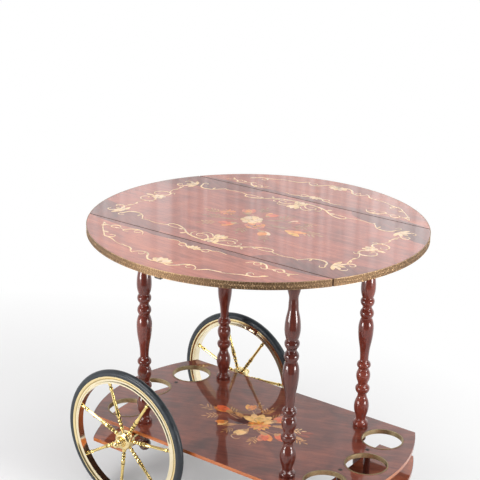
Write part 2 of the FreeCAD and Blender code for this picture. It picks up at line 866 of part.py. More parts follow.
def rim_corners():
    """Channel that holds the tyre, with two ridges on each face: (radius, place along the axle)."""
    wall = size("rim_wall")
    floor = rim_inner + size("rim_base")
    width = size("rim_width")
    recess = size("rim_recess")
    low_ridge = rim_inner + size("rim_ridge")
    high_ridge = rim_outer - size("rim_ridge")
    low_foot = low_ridge + size("rim_bevel")
    high_foot = high_ridge - size("rim_bevel")
    face = [(rim_inner, 0, LINE), (low_ridge, 0, LINE), (low_foot, recess, LINE), (high_foot, recess, LINE),
            (high_ridge, 0, LINE), (rim_outer, 0, LINE), (rim_outer, wall, LINE), (floor, wall, LINE)]
    return face + [(radius, width - along, join) for radius, along, join in reversed(face)]


def tyre_corners():
    """Tyre with a seat in the channel and a round tread."""
    width = size("tyre_width")
    seat = (size("tyre_width") - size("rim_width")) / 2 + size("rim_wall") + fit
    floor = rim_inner + size("rim_base") + fit
    side = rim_outer + fit
    shoulder = rim_outer + size("tyre_shoulder")
    return [(floor, seat, LINE), (side, seat, LINE), (side, 0, LINE), (shoulder, 0, LINE),
            (size("wheel_radius"), width / 2, ROUND), (shoulder, width, ROUND), (side, width, LINE),
            (side, width - seat, LINE), (floor, width - seat, LINE)]


def hub_corners():
    """Hub with a spoke flange in the middle and a stepped outer face."""
    bore = size("axle_radius") + size("running_clearance")
    barrel = size("hub_barrel_radius")
    flange = size("hub_flange_radius")
    face = size("hub_face_radius")
    length = size("hub_length")
    low = (length - size("hub_flange_thickness")) / 2
    high = low + size("hub_flange_thickness")
    step = (length + high) / 2
    return [(bore, 0, LINE), (barrel, 0, LINE), (barrel, low, LINE), (flange, low, LINE), (flange, high, LINE),
            (face, step, ROUND), (barrel, length, ROUND), (bore, length, LINE)]


def spoke_corners():
    """Turned spoke from its tenon in the hub to its tenon in the rim: (radius, distance from the axle)."""
    tenon = size("spoke_tenon_radius")
    root = size("hub_flange_radius")
    start = root - size("spoke_socket_depth")
    end = rim_inner + size("rim_base")
    corners = [(0, start, LINE), (tenon, start, LINE), (tenon, root, LINE)]
    corners += turning("spoke", root)
    corners += turning("spoke_tip", rim_inner - turned_length("spoke_tip"))
    return corners + [(tenon, rim_inner, LINE), (tenon, end, LINE), (0, end, LINE)]


def make_wheel(side, y_sign):
    turn = FreeCAD.Rotation(Y_AXIS, RIGHT_ANGLE - SPOKE_ANGLE[side])
    if y_sign < 0:
        turn = turn.multiply(FreeCAD.Rotation(Z_AXIS, 180))
    x = -column_x
    middle = wheel_offset

    def set_wheel_piece(name, body, width):
        place(body, x, y_sign * (middle - width / 2), axle_height, turn)
        keep(name, body)

    set_wheel_piece(f"tyre_{side}", turned_body(f"tyre_{side}", tyre_corners(), "XY_Plane"), size("tyre_width"))
    rim = turned_body(f"rim_{side}", rim_corners(), "XY_Plane")
    spoke_sockets(rim, size("rim_width") / 2, rim_inner - reach, size("rim_base") + 2 * reach)
    set_wheel_piece(f"rim_{side}", rim, size("rim_width"))
    hub = turned_body(f"hub_{side}", hub_corners(), "XY_Plane")
    socket_floor = size("hub_flange_radius") - size("spoke_socket_depth") - fit
    spoke_sockets(hub, size("hub_length") / 2, socket_floor, size("spoke_socket_depth") + fit + reach)
    set_wheel_piece(f"hub_{side}", hub, size("hub_length"))
    spokes = turned_body(f"spokes_{side}", spoke_corners())
    spokes.AllowCompound = True
    around_axle(spokes, spokes.Tip)
    set_wheel_piece(f"spokes_{side}", spokes, lift(0))


# Leaf hinges and stays.

def hinge_spans(x):
    """X spans of the fixed and the moving knuckles of a hinge centred at x."""
    half = size("hinge_length") / 2
    third = size("hinge_length") / 6
    gap = size("running_gap") / 2
    fixed = [(x - half, x - third - gap), (x + third + gap, x + half)]
    return fixed, [(x - third + gap, x + third - gap)]


def ordered(first, second):
    return (first, second) if first.number < second.number else (second, first)


def hinge_plate(name, x, y_sign, side, spans):
    """One plate of a hinge with its knuckles: side -1 is the plate on the panel, 1 the one on the leaf."""
    seam = size("seam_offset")
    radius = size("hinge_knuckle_radius")
    half = size("hinge_length") / 2
    low_z = top_bottom - size("hinge_plate_thickness")
    near = y_sign * (seam + side * (radius + size("running_gap") * 2))
    far = y_sign * (seam + side * size("hinge_plate_width"))
    low_y, high_y = ordered(near, far)
    pieces = [block(f"{name}_flat", (x - half, low_y, low_z), (x + half, high_y, top_bottom))]
    bores = []
    bore_radius = size("hinge_pin_radius") + size("running_clearance")
    for index, (start, end) in enumerate(spans):
        low_y, high_y = ordered(y_sign * seam, y_sign * (seam + side * (radius + size("hinge_plate_width") / 2)))
        pieces.append(block(f"{name}_web_{index}", (start, low_y, low_z), (end, high_y, top_bottom)))
        foot = (start, y_sign * seam, hinge_height)
        pieces.append(rod(f"{name}_knuckle_{index}", foot, radius, end - start, "+X"))
        foot = (start - reach, y_sign * seam, hinge_height)
        bores.append(rod(f"{name}_bore_{index}", foot, bore_radius, end - start + 2 * reach, "+X"))
    for spread in (-0.5, 0.5):
        place_x = x + spread * size("hinge_screw_spacing")
        place_y = y_sign * (seam + side * size("hinge_screw_offset"))
        foot = (place_x, place_y, low_z - reach)
        hole = size("hinge_screw_radius") + fit
        label = "low" if spread < 0 else "high"
        bores.append(rod(f"{name}_screw_hole_{label}", foot, hole, size("hinge_plate_thickness") + 2 * reach))
    return cut(name, fuse(name + "_blank", pieces), bores)


def top_screw(name, x, y, plate):
    """A screw through a plate into the underside of the top."""
    head_bottom = top_bottom - plate - size("hinge_screw_head_height")
    head = rod(name + "_head", (x, y, head_bottom), size("hinge_screw_head_radius"), size("hinge_screw_head_height"))
    length = top_bottom + size("hinge_screw_bite") - head_bottom
    shank = rod(name + "_shank", (x, y, head_bottom), size("hinge_screw_radius"), length)
    return fuse(name, [head, shank])


def make_hinges():
    fixed_plates = []
    pins = []
    panel_screws = []
    plate = size("hinge_plate_thickness")
    for side, y_sign in SIDES:
        leaf_plates = []
        for end, x_sign in ENDS:
            x = x_sign * hinge_x
            fixed, moving = hinge_spans(x)
            fixed_plates.append(hinge_plate(f"hinge_fixed_{side}_{end}", x, y_sign, -1, fixed))
            leaf_plates.append(hinge_plate(f"hinge_leaf_{side}_{end}", x, y_sign, 1, moving))
            foot = (x - size("hinge_length") / 2, y_sign * size("seam_offset"), hinge_height)
            radius = size("hinge_pin_radius")
            pins.append(rod(f"hinge_pin_{side}_{end}", foot, radius, size("hinge_length"), "+X"))
        keep(f"hinge_plates_leaf_{side}", compound(f"hinge_plates_leaf_{side}", leaf_plates))
        leaf_screws = []
        for index, (x, y) in enumerate(hinge_screw_points(1)):
            leaf_screws.append(top_screw(f"leaf_screw_{side}_{index}", x, y_sign * y, plate))
        keep(f"leaf_screws_{side}", compound(f"leaf_screws_{side}", leaf_screws))
        for index, (x, y) in enumerate(hinge_screw_points(-1)):
            panel_screws.append(top_screw(f"panel_screw_{side}_{index}", x, y_sign * y, plate))
        for index, (x, y) in enumerate(stay_screw_points()):
            thickness = size("stay_plate_thickness")
            panel_screws.append(top_screw(f"stay_screw_{side}_{index}", x, y_sign * y, thickness))
    keep("hinge_plates_fixed", compound("hinge_plates_fixed", fixed_plates))
    keep("hinge_pins", compound("hinge_pins", pins))
    keep("panel_screws", compound("panel_screws", panel_screws))


def side_profile(body, corners, half_width):
    """Pads an outline of (outward, up) corners, measured from the hinge pin, to both sides of its plane."""
    sketch = new_sketch(body, body.Name + "_outline", "YZ_Plane")
    count = len(corners)
    for index in range(count):
        start = FreeCAD.Vector(corners[index - 1][0].number, corners[index - 1][1].number, 0)
        end = FreeCAD.Vector(corners[index][0].number, corners[index][1].number, 0)
        sketch.addGeometry(Part.LineSegment(start, end))
    for index, (across, up) in enumerate(corners):
        following = (index + 1) % count
        sketch.addConstraint(Sketcher.Constraint("Coincident", index, 2, following, 1))
        for kind, length in (("DistanceX", across), ("DistanceY", up)):
            number = sketch.addConstraint(Sketcher.Constraint(kind, -1, 1, index, 2, length.number))
            sketch.setExpression(f"Constraints[{number}]", length.text)
    pad = body.newObject("PartDesign::Pad", body.Name + "_pad")
    pad.Profile = sketch
    pad.SideType = "Symmetric"
    bind(pad, "Length", 2 * half_width)
    body.Tip = pad


def make_stay_arm(side, y_sign):
    """Arm under the leaf, with an eye on the hinge pin's line."""
    eye = size("hinge_knuckle_radius")
    pin_bore = size("hinge_pin_radius") + size("running_clearance")
    half = size("stay_arm_width") / 2
    seam = y_sign * size("seam_offset")
    bottom = size("hinge_drop") - size("stay_arm_height")
    start = eye / 2
    ramp = size("stay_arm_ramp")
    end = size("stay_arm_reach")
    bevel = size("stay_arm_bevel")
    lip = eye + size("running_gap") * 2
    corners = [(start, -eye / 2), (ramp, bottom), (end - bevel, bottom), (end, bottom + bevel),
               (end, size("hinge_drop")), (lip, size("hinge_drop")), (start, eye / 2)]
    bar = doc.addObject("PartDesign::Body", f"stay_bar_{side}")
    side_profile(bar, [(y_sign * across, lift(up)) for across, up in corners], half)
    place(bar, 0, seam, hinge_height)
    ring = rod(f"stay_eye_{side}", (-half, seam, hinge_height), eye, 2 * half, "+X")
    hole = rod(f"stay_eye_hole_{side}", (-half - reach, seam, hinge_height), pin_bore, 2 * half + 2 * reach, "+X")
    name = f"stay_arm_{side}"
    keep(name, cut(name, fuse(f"stay_arm_blank_{side}", [bar, ring]), [hole]))


def make_stay_base(side, y_sign):
    """Bracket under the centre panel: a plate with a cheek on each side of the arm."""
    eye = size("hinge_knuckle_radius")
    pin_bore = size("hinge_pin_radius") + size("running_clearance")
    inner = size("stay_arm_width") / 2 + size("running_gap")
    outer = inner + size("stay_cheek_thickness")
    seam = size("seam_offset")
    back = seam - size("stay_base_length")
    front = seam - size("stay_plate_setback")
    wing = outer + size("stay_plate_wing")
    low_y, high_y = ordered(y_sign * back, y_sign * front)
    plate_bottom = top_bottom - size("stay_plate_thickness")
    pieces = [block(f"stay_plate_{side}", (-wing, low_y, plate_bottom), (wing, high_y, top_bottom))]
    cheek_bottom = top_bottom - size("stay_cheek_height")
    eye_bottom = hinge_height - eye
    eye_top = hinge_height + eye
    for end, x_sign in ENDS:
        low_x, high_x = ordered(x_sign * inner, x_sign * outer)
        low_y, high_y = ordered(y_sign * back, y_sign * front)
        name = f"stay_cheek_{side}_{end}"
        pieces.append(block(name, (low_x, low_y, cheek_bottom), (high_x, high_y, top_bottom)))
        low_y, high_y = ordered(y_sign * back, y_sign * seam)
        pieces.append(block(name + "_ear", (low_x, low_y, eye_bottom), (high_x, high_y, eye_top)))
        pieces.append(rod(name + "_eye", (low_x, y_sign * seam, hinge_height), eye, high_x - low_x, "+X"))
    start = (-outer - reach, y_sign * seam, hinge_height)
    holes = [rod(f"stay_base_hole_{side}", start, pin_bore, 2 * outer + 2 * reach, "+X")]
    for index, (x, y) in enumerate(stay_screw_points()):
        foot = (x, y_sign * y, plate_bottom - reach)
        radius = size("hinge_screw_radius") + fit
        holes.append(rod(f"stay_base_{side}_screw_{index}", foot, radius, size("stay_plate_thickness") + 2 * reach))
    name = f"stay_base_{side}"
    keep(name, cut(name, fuse(f"stay_base_blank_{side}", pieces), holes))


def make_stays():
    outer = size("stay_arm_width") / 2 + size("running_gap") + size("stay_cheek_thickness")
    pins = []
    for side, y_sign in SIDES:
        make_stay_arm(side, y_sign)
        make_stay_base(side, y_sign)
        foot = (-outer, y_sign * size("seam_offset"), hinge_height)
        pins.append(rod(f"stay_pin_{side}", foot, size("hinge_pin_radius"), 2 * outer, "+X"))
    keep("stay_pins", compound("stay_pins", pins))


# Casters.

def make_caster_socket(side, x, y):
    """Metal socket in the leg's end, with a flange under it."""
    bore = size("caster_stem_radius") + size("running_clearance")
    flange_bottom = leg_bottom - size("socket_flange_thickness")
    length = size("socket_tube_length") + size("socket_flange_thickness")
    flange = rod(f"socket_flange_{side}", (x, y, flange_bottom), size("socket_flange_radius"),
                 size("socket_flange_thickness"))
    tube = rod(f"socket_tube_{side}", (x, y, flange_bottom), size("socket_tube_radius"), length)
    hole = rod(f"socket_bore_{side}", (x, y, flange_bottom - reach), bore, length + 2 * reach)
    name = f"caster_socket_{side}"
    keep(name, cut(name, fuse(f"socket_blank_{side}", [flange, tube]), [hole]))


def make_caster_fork(side, x, y):
    """Crown with a stem, and two cheeks that trail behind the swivel axis."""
    inner = size("caster_wheel_width") / 2 + size("caster_side_gap")
    outer = inner + size("caster_cheek_thickness")
    axle_x = x - size("caster_trail")
    axle_z = size("caster_wheel_radius")
    half = size("caster_cheek_half_width")
    stem_length = size("caster_crown_thickness") + size("caster_stem_length")
    pieces = [
        rod(f"fork_stem_{side}", (x, y, caster_crown_bottom), size("caster_stem_radius"), stem_length),
        rod(f"fork_boss_{side}", (x, y, caster_crown_bottom), size("caster_crown_radius"),
            size("caster_crown_thickness")),
        block(f"fork_crown_{side}", (axle_x - half, y - outer, caster_crown_bottom), (x, y + outer, caster_crown_top)),
    ]
    for label, y_sign in (("low", -1), ("high", 1)):
        low_y, high_y = ordered(y_sign * inner, y_sign * outer)
        low = (axle_x - half, y + low_y, axle_z)
        high = (axle_x + half, y + high_y, caster_crown_top)
        pieces.append(block(f"fork_cheek_{side}_{label}", low, high))
        foot = (axle_x, y + low_y, axle_z)
        pieces.append(rod(f"fork_eye_{side}_{label}", foot, half, high_y - low_y, "+Y"))
    foot = (axle_x, y - outer - reach, axle_z)
    hole = rod(f"fork_hole_{side}", foot, size("caster_pin_radius") + fit, 2 * outer + 2 * reach, "+Y")
    name = f"caster_fork_{side}"
    keep(name, cut(name, fuse(f"fork_blank_{side}", pieces), [hole]))
    make_caster_pin(side, axle_x, y, axle_z, outer)


def make_caster_pin(side, x, y, z, outer):
    head = size("caster_pin_head_height")
    shank = rod(f"pin_shank_{side}", (x, y - outer, z), size("caster_pin_radius"), 2 * outer, "+Y")
    heads = []
    for label, foot in (("low", y - outer - head), ("high", y + outer)):
        heads.append(rod(f"pin_head_{side}_{label}", (x, foot, z), size("caster_pin_head_radius"), head, "+Y"))
    name = f"caster_pin_{side}"
    keep(name, fuse(name, [shank] + heads))


def make_caster_wheel(side, x, y):
    bore = size("caster_pin_radius") + size("running_clearance")
    hub = size("caster_hub_radius")
    radius = size("caster_wheel_radius")
    tread = size("caster_tread_round")
    gap = size("caster_side_gap") - size("running_gap")
    width = size("caster_wheel_width")
    side_face = gap + width
    end = side_face + gap
    corners = [(bore, 0, LINE), (hub, 0, LINE), (hub, gap, LINE), (radius - tread, gap, LINE),
               (radius, gap + tread, ROUND), (radius, side_face - tread, LINE),
               (radius - tread, side_face, ROUND), (hub, side_face, LINE), (hub, end, LINE), (bore, end, LINE)]
    name = f"caster_wheel_{side}"
    body = turned_body(name, corners, "XY_Plane")
    place(body, x - size("caster_trail"), y - end / 2, radius)
    keep(name, body)


def make_casters():
    x = column_x
    for side, y_sign in SIDES:
        y = y_sign * column_y
        make_caster_socket(side, x, y)
        make_caster_fork(side, x, y)
        make_caster_wheel(side, x, y)


def check_and_write():
    """Writes every sub-part once the whole model is sound."""
    for item in doc.Objects:
        if "Invalid" in item.State or "Error" in item.State:
            raise RuntimeError(f"{item.Label} failed: {item.State}")
    for node, item in nodes.items():
        if item.Shape.isNull() or not item.Shape.isValid() or not item.Shape.Solids:
            raise RuntimeError(f"{node} has no valid shape")
    os.makedirs("parts", exist_ok=True)
    for node, item in nodes.items():
        item.Shape.exportStep(f"parts/{node}.step")
    print(len(nodes), "sub-parts written")


make_centre_panel()
make_centre_bands()
make_leaves()
make_shelf()
make_bottle_rests()
make_bottle_rings()
make_rest_posts()
make_columns()
make_finials()
make_legs()
make_axle()
for wheel_side, wheel_sign in SIDES:
    make_wheel(wheel_side, wheel_sign)
make_hinges()
make_stays()
make_casters()
doc.recompute()
check_and_write()
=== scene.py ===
import json
import math
import random

import bmesh
import bpy
from mathutils import Matrix, Vector


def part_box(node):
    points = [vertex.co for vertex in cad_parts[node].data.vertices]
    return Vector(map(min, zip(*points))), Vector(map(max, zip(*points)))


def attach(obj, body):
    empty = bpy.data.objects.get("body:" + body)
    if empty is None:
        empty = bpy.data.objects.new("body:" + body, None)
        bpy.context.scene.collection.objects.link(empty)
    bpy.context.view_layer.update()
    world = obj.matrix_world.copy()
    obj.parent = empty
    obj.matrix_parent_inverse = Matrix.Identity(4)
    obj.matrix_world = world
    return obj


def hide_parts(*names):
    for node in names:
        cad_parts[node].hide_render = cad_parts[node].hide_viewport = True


# Looks of a bar cart: lacquered veneers with floral inlay, turned mahogany and brass wheels.
# Metres, in the frame of the solids. Inlay is drawn in millimetres from the middle of its board.

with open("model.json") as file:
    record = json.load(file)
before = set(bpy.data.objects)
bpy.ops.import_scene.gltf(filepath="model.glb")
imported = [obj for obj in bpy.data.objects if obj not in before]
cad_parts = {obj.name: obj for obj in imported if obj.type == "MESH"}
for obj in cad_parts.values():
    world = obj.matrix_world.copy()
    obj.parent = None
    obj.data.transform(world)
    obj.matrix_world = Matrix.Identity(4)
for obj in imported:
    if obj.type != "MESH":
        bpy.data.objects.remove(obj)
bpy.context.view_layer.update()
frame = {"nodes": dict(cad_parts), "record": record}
nodes = frame["nodes"]

MM = 0.001
SIDES = (("front", -1), ("back", 1))

# Camera: where it stands, its own right, up and back directions, and its lens.
CAMERA_PLACE = Vector((1.51213, -2.15155, 1.55144))
CAMERA_RIGHT = Vector((0.80467, 0.59331, 0.02208))
CAMERA_UP = Vector((-0.21029, 0.25003, 0.94512))
CAMERA_BACK = Vector((0.55523, -0.76515, 0.32596))
TOWARD_CAMERA = Vector((CAMERA_BACK.x, CAMERA_BACK.y, 0)).normalized()
LENS_MM = 93.35
SENSOR_MM = 36.0

# Places read from the solids.
TOP_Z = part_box("centre_panel")[1].z
SHELF_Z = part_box("shelf_board")[1].z
TOP_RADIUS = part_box("leaf_band_back")[1].y
PANEL_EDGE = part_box("centre_panel")[1].y
LEAF_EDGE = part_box("leaf_panel_back")[0].y
AXLE_X = (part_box("hub_front")[0].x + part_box("hub_front")[1].x) / 2
AXLE_Z = (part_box("hub_front")[0].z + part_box("hub_front")[1].z) / 2
RIM_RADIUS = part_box("rim_front")[1].z - AXLE_Z

# Wheels: how far inside a rim's outer edge its line of painted shade lies, and the rings of painted shade
# in the grooves of the spokes, in millimetres from the axle.
RIM_GROOVE = 6.3 * MM
SPOKE_RINGS = (35.0, 43.5, 51.5, 64.0, 129.5)

# Brass band: one repeat of its pattern, its thickness, the depth of its relief and the width of its rails.
BAND_PITCH = 5.4 * MM
BAND_THICKNESS = 1.2 * MM
BAND_SINK = 0.8 * MM
BAND_RAIL = 0.5 * MM


# Shader wiring.

# The range that most of a noise lies in, how far upward a face points where an upper side begins, and how
# strong a fine skin shows.
NOISE_LOW = 0.3
NOISE_HIGH = 0.7
UPPER_SIDE = (0.3, 0.7)
BUMP_STRENGTH = 0.3
BLACK = (0.0, 0.0, 0.0, 1.0)
WHITE = (1.0, 1.0, 1.0, 1.0)
UPWARD = (0.0, 0.0, 1.0)


class Value:
    """A shader socket that takes part in Python arithmetic; every operation adds a Math node."""

    def __init__(self, wiring, socket):
        self.wiring = wiring
        self.socket = socket

    def math(self, operation, *terms):
        return self.wiring.node("ShaderNodeMath", {"operation": operation}, dict(enumerate(terms)))

    def larger(self, other):
        return self.math("MAXIMUM", self, other)

    def __abs__(self):
        return self.math("ABSOLUTE", self)

    def __add__(self, other):
        return self.math("ADD", self, other)

    def __sub__(self, other):
        return self.math("SUBTRACT", self, other)

    def __rsub__(self, other):
        return self.math("SUBTRACT", other, self)

    def __mul__(self, other):
        return self.math("MULTIPLY", self, other)

    __radd__ = __add__
    __rmul__ = __mul__


class Wiring:
    """Nodes being added to a material or to the room."""

    def __init__(self, tree):
        self.tree = tree

    def node(self, kind, settings=None, inputs=None, output=0):
        """Adds a node: its settings first, then the values or links of its sockets."""
        node = self.tree.nodes.new(kind)
        for key, value in (settings or {}).items():
            if key == "stops":
                set_stops(node.color_ramp, value)
            else:
                setattr(node, key, value)
        for key, value in (inputs or {}).items():
            if isinstance(value, Value):
                self.tree.links.new(value.socket, node.inputs[key])
            else:
                node.inputs[key].default_value = value
        return Value(self, node.outputs[output])

    def vector(self, operation, *terms, output=0):
        return self.node("ShaderNodeVectorMath", {"operation": operation}, dict(enumerate(terms)), output)

    def along(self, direction, axis):
        """How far a direction or a place runs along an axis."""
        return self.vector("DOT_PRODUCT", direction, axis, output="Value")

    def spread(self, value, low, high, to_low, to_high):
        """Maps a range of a value to another, clamped."""
        return self.node("ShaderNodeMapRange", None, {
            "Value": value, "From Min": low, "From Max": high, "To Min": to_low, "To Max": to_high})


class Finish(Wiring):
    """A material being wired: a Principled shader with its constants, and the nodes that feed it."""

    def __init__(self, name, constants):
        self.material = bpy.data.materials.new(name)
        self.material.use_nodes = True
        super().__init__(self.material.node_tree)
        self.shader = self.tree.nodes["Principled BSDF"]
        for label, value in constants.items():
            self.shader.inputs[label].default_value = value

    def feed(self, label, value):
        self.tree.links.new(value.socket, self.shader.inputs[label])

    def place(self):
        return self.node("ShaderNodeTexCoord", output="Object")

    def noise(self, per_metre, detail=3.0, roughness=0.55, distortion=0.0, turn=0.0):
        """Noise on Object coordinates with so many features a metre along X, Y and Z."""
        settings = {"rotation_type": "Z_AXIS"}
        turned = self.node("ShaderNodeVectorRotate", settings, {"Vector": self.place(), "Angle": turn})
        scaled = self.vector("MULTIPLY", turned, per_metre)
        inputs = {"Vector": scaled, "Scale": 1.0, "Detail": detail, "Roughness": roughness,
                  "Distortion": distortion}
        return self.node("ShaderNodeTexNoise", None, inputs)

    def ramp(self, value, places, colours):
        """Blends through colours that stand at places from 0 to 1."""
        return self.node("ShaderNodeValToRGB", {"stops": list(zip(places, colours))}, {"Fac": value})

    def mix(self, factor, first, second):
        return self.node("ShaderNodeMix", {"data_type": "RGBA"}, {0: factor, 6: first, 7: second}, output=2)

    def facing_up(self):
        """1 on the upper side of a board, 0 on its edges and underside."""
        normal = self.node("ShaderNodeTexCoord", output="Normal")
        return self.spread(self.along(normal, UPWARD), *UPPER_SIDE, 0.0, 1.0)

    def reach(self, centre, plane):
        """Distance from a centre, measured in a plane."""
        away = self.vector("SUBTRACT", self.place(), centre)
        return self.vector("LENGTH", self.vector("MULTIPLY", away, plane), output="Value")

    def uneven(self, noise, low, high):
        """Follows a noise from one value to another."""
        return self.spread(noise, NOISE_LOW, NOISE_HIGH, low, high)

    def bump(self, height, depth):
        inputs = {"Height": height, "Distance": depth, "Strength": BUMP_STRENGTH}
        self.feed("Normal", self.node("ShaderNodeBump", None, inputs))


def set_stops(ramp, stops):
    """Gives a colour ramp its stops: (place, colour)."""
    while len(ramp.elements) < len(stops):
        ramp.elements.new(0.5)
    for element, (place, colour) in zip(ramp.elements, stops):
        element.position = place
        element.color = rgba(colour)


def rgba(colour):
    return (*colour, 1.0)


def shaded(colour, factor):
    return tuple(channel * factor for channel in colour)


def blend(first, second, share):
    """A share of one noise and the rest of another."""
    return share * first + (1 - share) * second


# Finishes of wood. A noise is given by its features a metre along X, Y and Z.

LACQUER = {
    "Roughness": 0.35,
    "Coat Weight": 1.0,
    "Coat Roughness": 0.03,
    "Coat IOR": 1.5,
    "Specular IOR Level": 0.1,
}
PORE_CORE = 0.36
PORE_SHADE = 0.5
GRAIN_STOPS = (0.34, 0.5, 0.68)
GRAIN_SHARE = 0.4

VENEER_STREAKS = (5.0, 120.0, 120.0)
VENEER_CLOUDS = (9.0, 14.0, 9.0)
VENEER_PORES = (70.0, 1600.0, 1600.0)
VENEER_STOPS = (0.38, 0.5, 0.62)
VENEER_ROUGHNESS = (0.28, 0.42)
STREAK_SHARE = 0.36
# Painted shade on the edges and undersides of veneered boards.
EDGE_PAINTED_SHADE = (0.05, 0.019, 0.013)
UNDERSIDE_MATT = 0.4

INLAY_GRAIN = (400.0, 900.0, 400.0)
INLAY_GRAIN_TURN = 0.7
INLAY_SHADES = (70.0, 70.0, 70.0)
INLAY_STOPS = (0.36, 0.52, 0.66)
INLAY_ROUGHNESS = (0.3, 0.42)
SCORCH = 0.25

COLUMN_GRAIN = (160.0, 160.0, 7.0)
COLUMN_PORES = (900.0, 900.0, 40.0)
COLUMN_CLOUDS = (18.0, 18.0, 9.0)
COLUMN_ROUGHNESS = (0.25, 0.4)
COLUMN_COAT = 0.04

TAPE_GRAIN = (14.0, 14.0, 420.0)
TAPE_CLOUDS = (11.0, 11.0, 11.0)
TAPE_GRAIN_SHARE = 0.5


def with_pores(finish, colour, pores, edge, depth, dark):
    """A wood's colour with fine dark pores."""
    mask = finish.spread(pores, PORE_CORE, edge, depth, 0.0)
    return finish.mix(mask, colour, rgba(shaded(dark, PORE_SHADE)))


def lacquered_veneer(name, dark, middle, light, turn=0.0):
    """Figured veneer under clear gloss lacquer; a board's matt edges and underside carry painted shade."""
    finish = Finish(name, LACQUER)
    streak = finish.noise(VENEER_STREAKS, detail=4.0, roughness=0.6, distortion=0.4, turn=turn)
    cloud = finish.noise(VENEER_CLOUDS, detail=4.0, distortion=1.2, turn=turn)
    pores = finish.noise(VENEER_PORES, detail=2.0, roughness=0.5, turn=turn)
    colour = finish.ramp(blend(streak, cloud, STREAK_SHARE), VENEER_STOPS, (dark, middle, light))
    veneer = with_pores(finish, colour, pores, edge=0.44, depth=0.45, dark=dark)
    upper = finish.facing_up()
    # Painted shade on the edges and underside.
    finish.feed("Base Color", finish.mix(upper, rgba(EDGE_PAINTED_SHADE), veneer))
    finish.feed("Roughness", finish.uneven(cloud, *VENEER_ROUGHNESS) + UNDERSIDE_MATT * (1 - upper))
    finish.feed("Coat Weight", upper)
    return finish.material


def inlay_wood(name, colour):
    """A small piece of dyed veneer under the same lacquer, with fine grain and scorched shading."""
    finish = Finish(name, LACQUER)
    grain = finish.noise(INLAY_GRAIN, roughness=0.6, distortion=0.3, turn=INLAY_GRAIN_TURN)
    shade = finish.noise(INLAY_SHADES, detail=2.0, roughness=0.5, distortion=0.6)
    tones = (shaded(colour, 1 - 2 * SCORCH), colour, shaded(colour, 1 + 0.5 * SCORCH))
    finish.feed("Base Color", finish.ramp(blend(grain, shade, GRAIN_SHARE), INLAY_STOPS, tones))
    finish.feed("Roughness", finish.uneven(grain, *INLAY_ROUGHNESS))
    return finish.material


def turned_mahogany(name, dark, middle, light):
    """Dark stained wood with upright grain under high-gloss lacquer."""
    finish = Finish(name, {**LACQUER, "Coat Roughness": COLUMN_COAT})
    grain = finish.noise(COLUMN_GRAIN, detail=4.0, roughness=0.6, distortion=0.8)
    pores = finish.noise(COLUMN_PORES, detail=2.0)
    cloud = finish.noise(COLUMN_CLOUDS)
    colour = finish.ramp(blend(grain, cloud, GRAIN_SHARE), GRAIN_STOPS, (dark, middle, light))
    finish.feed("Base Color", with_pores(finish, colour, pores, edge=0.43, depth=0.4, dark=dark))
    finish.feed("Roughness", finish.uneven(cloud, *COLUMN_ROUGHNESS))
    return finish.material


MAHOGANY_TONES = ((0.06, 0.010, 0.007), (0.115, 0.022, 0.014), (0.175, 0.037, 0.022))


def stain_and_painted_light_mahogany(name, strength):
    """Turned mahogany in one red-brown at a strength: near 1 its own stain, paler painted light, deeper
    painted shade.
    """
    return turned_mahogany(name, *(shaded(tone, strength) for tone in MAHOGANY_TONES))


def edge_tape(name, dark, middle, light, top):
    """Thin wood tape round a board: level grain, and the board's own colour along its upper edge."""
    finish = Finish(name, LACQUER)
    grain = finish.noise(TAPE_GRAIN, detail=4.0, roughness=0.6, distortion=0.5)
    cloud = finish.noise(TAPE_CLOUDS)
    colour = finish.ramp(blend(grain, cloud, TAPE_GRAIN_SHARE), GRAIN_STOPS, (dark, middle, light))
    finish.feed("Base Color", finish.mix(finish.facing_up(), colour, rgba(top)))
    finish.feed("Roughness", finish.uneven(cloud, *VENEER_ROUGHNESS))
    return finish.material


# Finishes of metal, rubber and enamel.

METAL = {"Metallic": 1.0}
METAL_CLOUDS = (45.0, 45.0, 45.0)
METAL_SPECKS = (420.0, 420.0, 420.0)
METAL_CLOUD_SHARE = 0.7
METAL_DULLING = 1.7
TARNISH_EDGE = (0.42, 0.66)

BAND_CLOUDS = (170.0, 170.0, 170.0)
BAND_CLEAN_FROM = 0.2
BAND_AGE = (0.4, 0.6)
BAND_AGED = 0.25
BAND_ROUGHNESS = (0.5, 0.38)

RIM_LINE_FOOT = (-1.5 * MM, -0.9 * MM)
RIM_LINE_HEAD = (0.5 * MM, 1.1 * MM)
RIM_OUTER_FADE = 0.6 * MM
RIM_TARNISH = 0.4
RIM_TARNISH_SHADE = 0.85
RIM_ROUGHNESS = (0.09, 0.16)

SPOKE_RING_FADE = (0.9 * MM, 2.4 * MM)
SPOKE_TARNISH = 0.3
SPOKE_ROUGHNESS = (0.1, 0.3)

RUBBER_DUST = (60.0, 60.0, 60.0)
RUBBER_DUST_STOPS = (0.35, 0.7)
RUBBER_DUST_SHADE = 1.7
RUBBER_DULLING = 0.15
RUBBER_SKIN = (1500.0, 1500.0, 1500.0)
RUBBER_SKIN_DEPTH = 0.2 * MM

ENAMEL_WEAR = (60.0, 60.0, 60.0)
ENAMEL_WEAR_STOPS = (0.35, 0.72)
ENAMEL_WEAR_SHADE = 1.6
ENAMEL_ROUGHNESS = (0.35, 0.5)
ENAMEL_PEEL = (500.0, 500.0, 500.0)
ENAMEL_PEEL_DEPTH = 0.1 * MM


def metal_clouds(finish):
    return finish.noise(METAL_CLOUDS, detail=5.0, roughness=0.62, distortion=0.5)


def tarnish_over(finish, patches, amount):
    """How far tarnish covers the metal: none between the patches, up to an amount on them."""
    return finish.spread(patches, *TARNISH_EDGE, 0.0, amount)


def from_axle(finish):
    """Distance from the wheels' axle."""
    return finish.reach((AXLE_X, 0.0, AXLE_Z), (1.0, 0.0, 1.0))


